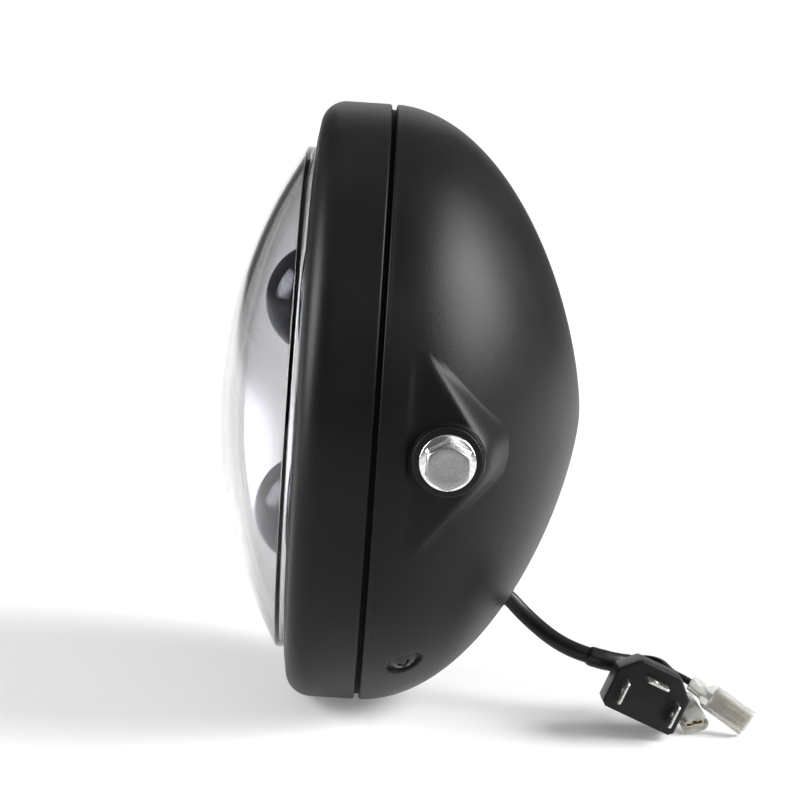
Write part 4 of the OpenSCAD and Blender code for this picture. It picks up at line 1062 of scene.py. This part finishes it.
# %% [markdown]
# ## The lens
# The lens is one clear moulding, a shallow dome with a straight skirt and a hidden flange. Its wall is
# drawn as a closed outline, outside and inside, so light bends as it does in the real thing. A lens drawn
# as a single surface would be a solid lump of plastic to the renderer.

# %% The lens
SKIRT_R = 84.2
LENS_WALL = 2.6
LENS_FLATNESS = 1.9
LENS_STAND = 3.0
RIM_ROUND = 0.8
SHOULDER_BACK = 1.3
UNIT_R = 89.0
DOME_R = SKIRT_R * LENS_FLATNESS
APEX = RING_DEPTH + LENS_STAND + DOME_R - np.sqrt(DOME_R ** 2 - SKIRT_R ** 2)
FLANGE_FRONT = LIP_BACK - 1.2
HOUSING_FRONT = FLANGE_FRONT - 3.0


def dome_a(r, radius, tip):
    """How far behind the seam a dome of that radius is, at r from the axis, with its apex tip ahead."""
    return -tip + radius - np.sqrt(radius ** 2 - np.asarray(r, float) ** 2)


def dome_line(edge_r, radius, tip, count):
    """A dome's outline from its pole to its edge."""
    r = edge_r * np.sin(np.linspace(0, np.pi / 2, count))
    r[0] = 0.0
    return np.column_stack([r, dome_a(r, radius, tip)])


rim_r = SKIRT_R - RIM_ROUND
outer = dome_line(rim_r, DOME_R, APEX, 44)
shoulder_a = outer[-1, 1] + SHOULDER_BACK
t = np.linspace(0, np.pi / 2, 10)[1:]
shoulder = np.column_stack([
    rim_r + (SKIRT_R - rim_r) * np.sin(t), shoulder_a - (shoulder_a - outer[-1, 1]) * np.cos(t)])
skirt_in = SKIRT_R - LENS_WALL
inner = dome_line(skirt_in - 0.8, DOME_R - LENS_WALL, APEX - LENS_WALL, 44)
lens_outline = np.concatenate([
    outer, shoulder,
    [[SKIRT_R, -FLANGE_FRONT - 2], [SKIRT_R, -FLANGE_FRONT - 0.2], [SKIRT_R + 0.2, -FLANGE_FRONT],
     [UNIT_R - 0.2, -FLANGE_FRONT], [UNIT_R, -FLANGE_FRONT + 0.2], [UNIT_R, -HOUSING_FRONT],
     [skirt_in, -HOUSING_FRONT], [skirt_in, inner[-1, 1] + 3.0], [skirt_in, inner[-1, 1] + 1.6],
     [skirt_in - 0.3, inner[-1, 1] + 0.5]], inner[::-1]])
lens = dress(skin("lens_dome", turned(lens_outline, 240)), CLEAR, "clear_lens", "lens")

# %% [markdown]
# ## Running-light guide and bezel
# Just inside the lens's edge a clear ring carries the running light. It is slightly matt, so that it
# catches light. Behind it a moulded bezel with a smoked chrome finish closes the unit's front. The bezel
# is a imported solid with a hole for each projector.

# %% The light guide
GUIDE_R = skirt_in - 1.0
GUIDE_IN = GUIDE_R - 4.0
GUIDE_FRONT = RING_DEPTH + 0.8
GUIDE_BACK = GUIDE_FRONT - 5.6
guide_outline = rounded([
    [GUIDE_IN, -GUIDE_BACK - 1.0], [GUIDE_R, -GUIDE_BACK - 1.0], [GUIDE_R, -GUIDE_FRONT + 1],
    [GUIDE_R - 1, -GUIDE_FRONT], [GUIDE_IN + 1, -GUIDE_FRONT], [GUIDE_IN, -GUIDE_FRONT + 1],
], [0.1, 0.1, 0.4, 0.4, 0.4, 0.4], 4)
dress(skin("light_guide_ring", turned(spaced(guide_outline, 1.2), 240), loop=True), GUIDE,
      "light_guide", "light_guide")

# %% [markdown]
# ## The projectors
# Each projector is a domed glass in a black collar, held by a thin bright ring. The glass is turned from
# its own outline: a spherical dome, a short edge and a flat back.

# %% Projector glasses, collars and retainers
PROJECTOR_Z = 0.428 * SKIRT_R
PROJECTOR_DROP = 2.5
GLASS_R = 0.44 * SKIRT_R / 2
GLASS_RISE = 0.38 * 2 * GLASS_R
GLASS_FRONT = APEX - 12.8
GLASS_EDGE = -GLASS_FRONT + GLASS_RISE
GLASS_BACK = GLASS_EDGE + 2.4
GLASS_BALL = (GLASS_R ** 2 + GLASS_RISE ** 2) / (2 * GLASS_RISE)
COLLAR_IN = GLASS_R + 0.3
COLLAR_R = COLLAR_IN + 2.2
COLLAR_FRONT = GLASS_EDGE - 3.2
PLATE = -RING_DEPTH + 7.8

glass_line = np.concatenate([
    dome_line(GLASS_R - 0.15, GLASS_BALL, GLASS_FRONT, 32),
    [[GLASS_R, GLASS_EDGE + 0.3], [GLASS_R, GLASS_BACK - 0.3], [GLASS_R - 0.3, GLASS_BACK],
     [GLASS_R * 0.6, GLASS_BACK], [0.0, GLASS_BACK]]])
collar_line = rounded([
    [COLLAR_IN, COLLAR_FRONT + 0.4], [COLLAR_IN + 0.6, COLLAR_FRONT], [COLLAR_R - 0.8, COLLAR_FRONT + 0.4],
    [COLLAR_R, COLLAR_FRONT + 1.8], [COLLAR_R, PLATE + 2], [COLLAR_R + 4, PLATE + 2],
    [COLLAR_R + 4, PLATE + 4], [GLASS_R - 2, PLATE + 4], [GLASS_R - 2, GLASS_BACK], [COLLAR_IN, GLASS_BACK],
], [0.25, 0.25, 0.5, 0.5, 0.2, 0.3, 0.3, 0.2, 0.2, 0.1], 4)
retainer_line = rounded([
    [GLASS_R + 0.05, GLASS_EDGE - 0.2], [COLLAR_IN - 0.05, GLASS_EDGE - 0.2],
    [COLLAR_IN - 0.05, GLASS_EDGE - 1.6], [GLASS_R - 0.4, GLASS_EDGE - 1.8],
], [0.02, 0.02, 0.08, 0.08], 3)
projector_parts = (("glass", "glass", glass_line, False, PROJECTOR, "projector_glass"),
                   ("collar", "collar", collar_line, True, BEZEL, "bezel_black"),
                   ("ring", "retainer", retainer_line, True, CHROME, "chrome_trim"))
for level, height in (("upper", PROJECTOR_Z - PROJECTOR_DROP), ("lower", -PROJECTOR_Z - PROJECTOR_DROP)):
    for part, node, line, loop, finish, slot in projector_parts:
        piece = skin(f"{level}_projector_{part}", turned(line, 128, height), loop=loop)
        dress(piece, finish, slot, f"{level}_{node}")

# %% [markdown]
# ## Side bolts, washers and ring screws
# A flange bolt is a round flange, a hexagon and a chamfer that cuts the hexagon's corners. As a grid,
# each row has a radius for every direction: round rows make the flange, rows that follow the hexagon make
# the flats, and the chamfer's height falls as the hexagon reaches out, which draws the curved corners by
# itself.

# %% The flange bolt
WASHER_T = 2.2
WASHER_R = 10.9
BOLT_AF = 13.0
FLANGE_R = 8.8
BOLT_SEAT = SEAT_X + WASHER_T
FLANGE_T, FLANGE_CONE, HEAD_H = 1.6, 0.6, 7.4
BOLT_TOP = FLANGE_T + FLANGE_CONE + HEAD_H


def hex_radius(t, flat):
    """The hexagon's radius in direction t, with a corner at t = 0: the flat's distance over the cosine of the
    angle to the nearest flat. A small rounding takes off the corners' sharp tips."""
    off = t % (np.pi / 3) - np.pi / 6
    return np.minimum(flat / np.cos(off), flat / np.cos(np.pi / 6) - 0.12)


def flange_bolt(name, side):
    """A flange bolt along x, from its shank's end to the middle of its head's top."""
    cols = 144
    t = np.linspace(0, 2 * np.pi, cols, endpoint=False)
    flat = BOLT_AF / 2
    face_r = flat * 0.93
    base = FLANGE_T + FLANGE_CONE
    hexagon = hex_radius(t, flat)
    ring = np.ones(cols)
    chamfer = (hexagon - face_r) * 0.5
    rows = [(0 * ring, -16.0), (3.2 * ring, -16.0), (4.0 * ring, -15.2), (4.0 * ring, -0.1),
            (4.3 * ring, 0.0), (8.4 * ring, 0.0), (8.66 * ring, 0.06), (8.76 * ring, 0.22),
            (FLANGE_R * ring, 0.45),
            (FLANGE_R * ring, 1.0), (8.74 * ring, 1.32), (8.56 * ring, 1.5), (8.3 * ring, FLANGE_T),
            (7.9 * ring, FLANGE_T + 0.12), (hexagon + 0.28, base - 0.12), (hexagon + 0.1, base + 0.05),
            (hexagon, base + 0.3), (hexagon, base + 1.0), (hexagon, BOLT_TOP - 2.2),
            (hexagon, BOLT_TOP - chamfer - 0.35), (hexagon - 0.03, BOLT_TOP - chamfer - 0.12),
            (hexagon - 0.15, BOLT_TOP - chamfer + 0.03),
            (face_r + 0.25 + 0.35 * (hexagon - face_r), BOLT_TOP - 0.35 * chamfer - 0.05),
            (face_r * ring, BOLT_TOP - 0.03), ((face_r - 0.25) * ring, BOLT_TOP), (4.2 * ring, BOLT_TOP),
            (4.0 * ring, BOLT_TOP - 0.02), (2.0 * ring, BOLT_TOP - 0.03), (0 * ring, BOLT_TOP - 0.03)]
    r = np.stack([row[0] for row in rows])
    h = np.stack([np.broadcast_to(row[1], cols) for row in rows])
    return skin(name, np.stack([side * (BOLT_SEAT + h), r * np.sin(t), r * np.cos(t)], axis=2))


BOLT_ZINC = bolt_zinc(BOLT_SEAT + BOLT_TOP)
for name, side in SIDES:
    dress(flange_bolt(f"{name}_flange_bolt", side), BOLT_ZINC, "zinc_bright", f"mount_bolt_{name}")

# %% The washers


def about_x(outline, side, cols=128):
    """An outline of radius and height above the seat's plane, turned about the bolts' line."""
    t = np.linspace(0, 2 * np.pi, cols, endpoint=False)
    r, h = (repeated(column, cols) for column in outline.T)
    return np.stack([side * (SEAT_X + h), r * np.cos(t), r * np.sin(t)], axis=2)


washer_corners = [[BOLT_HOLE_R, 0.0], [WASHER_R, 0.0], [WASHER_R, WASHER_T], [BOLT_HOLE_R, WASHER_T]]
washer_line = rounded(washer_corners, [0.2, 0.3, 0.55, 0.2], 6)
for name, side in SIDES:
    dress(skin(f"{name}_washer", about_x(spaced(washer_line, 1.2), side), loop=True), WASHER, "black_washer",
          f"mount_washer_{name}")

# %% The ring screws
HEAD_R, SCREW_HEAD_H = 4.7, 2.2
CROSS_TURN = np.radians(22)


def cross_depth(u, v):
    """How deep the cross recess is at a point of the head: two crossed slots with sloping sides, whose floor
    falls towards the middle."""
    across, down = np.minimum(np.abs(u), np.abs(v)), np.maximum(np.abs(u), np.abs(v))
    slot = smooth_step(across, 0.62, 0.34)
    return slot * smooth_step(down, 2.75, 1.9) * (0.85 + 0.55 * smooth_step(down, 1.2, 0.0))


def ring_screw(name, side):
    """A pan-headed screw in its cup: a domed head with a cross recess, a rounded edge, and its shank."""
    centre, along, round_, outward = cup_frame(side)
    cols = 144
    turn = np.linspace(0, 2 * np.pi, cols, endpoint=False)
    t = turn + CROSS_TURN
    r_head = np.concatenate([np.linspace(0, 3.2, 30), np.linspace(3.35, 4.4, 7)])
    ball = (HEAD_R ** 2 + SCREW_HEAD_H ** 2) / (2 * SCREW_HEAD_H)
    grid_r = repeated(r_head, cols)
    top = SCREW_HEAD_H - ball + np.sqrt(ball ** 2 - grid_r ** 2)
    top = top - cross_depth(grid_r * np.cos(t), grid_r * np.sin(t))
    side_r = np.array([4.58, 4.66, 4.68, 4.6, 2.5, 2.5, 0.0])
    side_h = np.array([0.33, 0.2, 0.1, 0.0, 0.0, -11.8, -11.8])
    r = np.concatenate([grid_r, repeated(side_r, cols)])
    h = np.concatenate([top, repeated(side_h, cols)]) - CUP_DEPTH
    grid = centre + r[..., None] * (np.cos(turn)[:, None] * along + np.sin(turn)[:, None] * round_) \
        + h[..., None] * outward
    return skin(name, grid)


screws = joined("ring_screw_pair", [ring_screw("ring_screw_right", 1), ring_screw("ring_screw_left", -1)])
dress(screws, SCREW, "screw_black", "ring_screws")

# %% [markdown]
# ## The solids that stay
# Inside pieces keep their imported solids, whose shapes are right already. Each gets the finish of its
# slot.

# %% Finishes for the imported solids
stays = {
    "clamp_posts": ZINC_STEEL, "clamp_ring": ZINC_STEEL, "clamp_screws": ZINC_BRIGHT, "ring_tabs": ZINC_STEEL,
    "ring_nuts": ZINC_BRIGHT, "weld_nut_right": ZINC_STEEL, "weld_nut_left": ZINC_STEEL,
    "lens_gasket": RUBBER, "guide_board": BOARD_WHITE, "bezel": SMOKED, "lamp_housing": CAST,
    "driver_board": BOARD_GREEN,
    "upper_reflector": CHROME, "lower_reflector": CHROME, "upper_led_board": BOARD_WHITE,
    "lower_led_board": BOARD_WHITE, "lamp_gland": RUBBER, "inner_lead": CABLE, "grommet": RUBBER}
for node, finish in stays.items():
    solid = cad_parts[node]
    solid.data.materials.clear()
    solid.data.materials.append(finish)
print("packed solids dressed:", len(stays))

# %% [markdown]
# ## Floor, light and air
# The lamp lies on a wide floor of pale paper. Beyond it, seen from the camera, a narrow strip of the same
# paper bends up and fills the rest of the picture. The paper glows a little, more with distance, so that
# it stays pale round the lamp's shadow. The glow ends ahead of the lens, whose clear edge shows against
# the darker paper. Four lights are used: a large soft box behind the lamp draws the long highlight on the
# bucket, one ahead lights the ring's corner and the lens, a faint one stands on the camera's side, and a
# broad sun overhead fills the shadows together with a weak even sky.

# %% The floor
FLOOR_Z = -SHELL_R - 0.02
FLOOR_HALF = 2.2
WALL_HALF = 0.54
BEND_X = -1.9
BEND_R = 0.5
WALL_TOP = 1.6
GLOW_NEAR, GLOW_FAR = 0.3, 1.1
GLOW_LEAST = 0.26
GLOW_GONE, GLOW_WHOLE = -0.80, -0.46
turn = np.radians(np.linspace(0, 90, 13))
rise = np.column_stack([BEND_X - BEND_R * np.sin(turn), FLOOR_Z * MM + BEND_R * (1 - np.cos(turn))])
rise = np.concatenate([rise, [[BEND_X - BEND_R, WALL_TOP]]])
strip = np.array([[(x, y, z) for y in (-WALL_HALF, WALL_HALF)] for x, z in rise]).reshape(-1, 3)
flat_part = [(x, y, FLOOR_Z * MM) for x in (FLOOR_HALF, BEND_X) for y in (-FLOOR_HALF, FLOOR_HALF)]
faces = [(0, 2, 3, 1)] + [(k, k + 2, k + 3, k + 1) for k in range(4, 2 + len(strip), 2)]
floor_mesh = bpy.data.meshes.new("floor")
floor_mesh.from_pydata(flat_part + strip.tolist(), [], faces)
floor_mesh.polygons.foreach_set("use_smooth", np.ones(len(faces), bool))
floor = bpy.data.objects.new("floor", floor_mesh)
bpy.context.scene.collection.objects.link(floor)
paper = Finish("paper_sweep", Specular_IOR_Level=0.1, Emission_Strength=0.80)
paper.colour(paper.mix(paper.noise(8), (0.60, 0.60, 0.60), (0.62, 0.62, 0.62)))
paper.roughness(0.9)
spot = paper.place()
far = paper.node("ShaderNodeVectorMath", {"operation": "LENGTH"}, {0: spot}, output=1)
ahead = paper.node("ShaderNodeSeparateXYZ", None, {0: spot}, output=1)
glow = far.spread(GLOW_NEAR, GLOW_FAR) * (1 - GLOW_LEAST) + GLOW_LEAST
glow = glow * ahead.spread(GLOW_GONE, GLOW_WHOLE)
paper.feed(paper.shader.inputs["Emission Color"], paper.mix(glow, (0, 0, 0), (1, 1, 1)))
floor_mesh.materials.append(paper.material)

# %% The lights


def soft_box(name, at, to, width, height, power, spread):
    """A rectangular lamp at a place, in metres, that faces a point and throws its light within spread
    degrees."""
    data = bpy.data.lights.new(name, "AREA")
    data.shape, data.size, data.size_y, data.energy = "RECTANGLE", width, height, power
    data.spread = np.radians(spread)
    lamp = bpy.data.objects.new(name, data)
    bpy.context.scene.collection.objects.link(lamp)
    lamp.location = at
    lamp.rotation_euler = (Vector(to) - Vector(at)).to_track_quat("-Z", "Y").to_euler()
    return lamp


soft_box("back_box", (-0.03, 1.50, 0.89), (0.04, 0.06, 0.05), 1.5, 1.3, 14.5, 60)
soft_box("front_box", (0.06, -1.45, 0.50), (0, -0.02, 0.0), 1.0, 1.1, 7.0, 60)
soft_box("side_box", (1.25, 0.45, 0.95), (0, 0, 0.02), 0.9, 0.9, 0.5, 60)
ceiling_data = bpy.data.lights.new("ceiling", "SUN")
ceiling_data.energy, ceiling_data.angle = 0.42, np.radians(80)
ceiling = bpy.data.objects.new("ceiling", ceiling_data)
bpy.context.scene.collection.objects.link(ceiling)
world = bpy.data.worlds.new("studio")
bpy.context.scene.world = world
world.use_nodes = True
sky = world.node_tree.nodes["Background"]
sky.inputs["Color"].default_value = (1, 1, 1, 1)
sky.inputs["Strength"].default_value = 0.10
bpy.context.scene.view_settings.view_transform = "Standard"
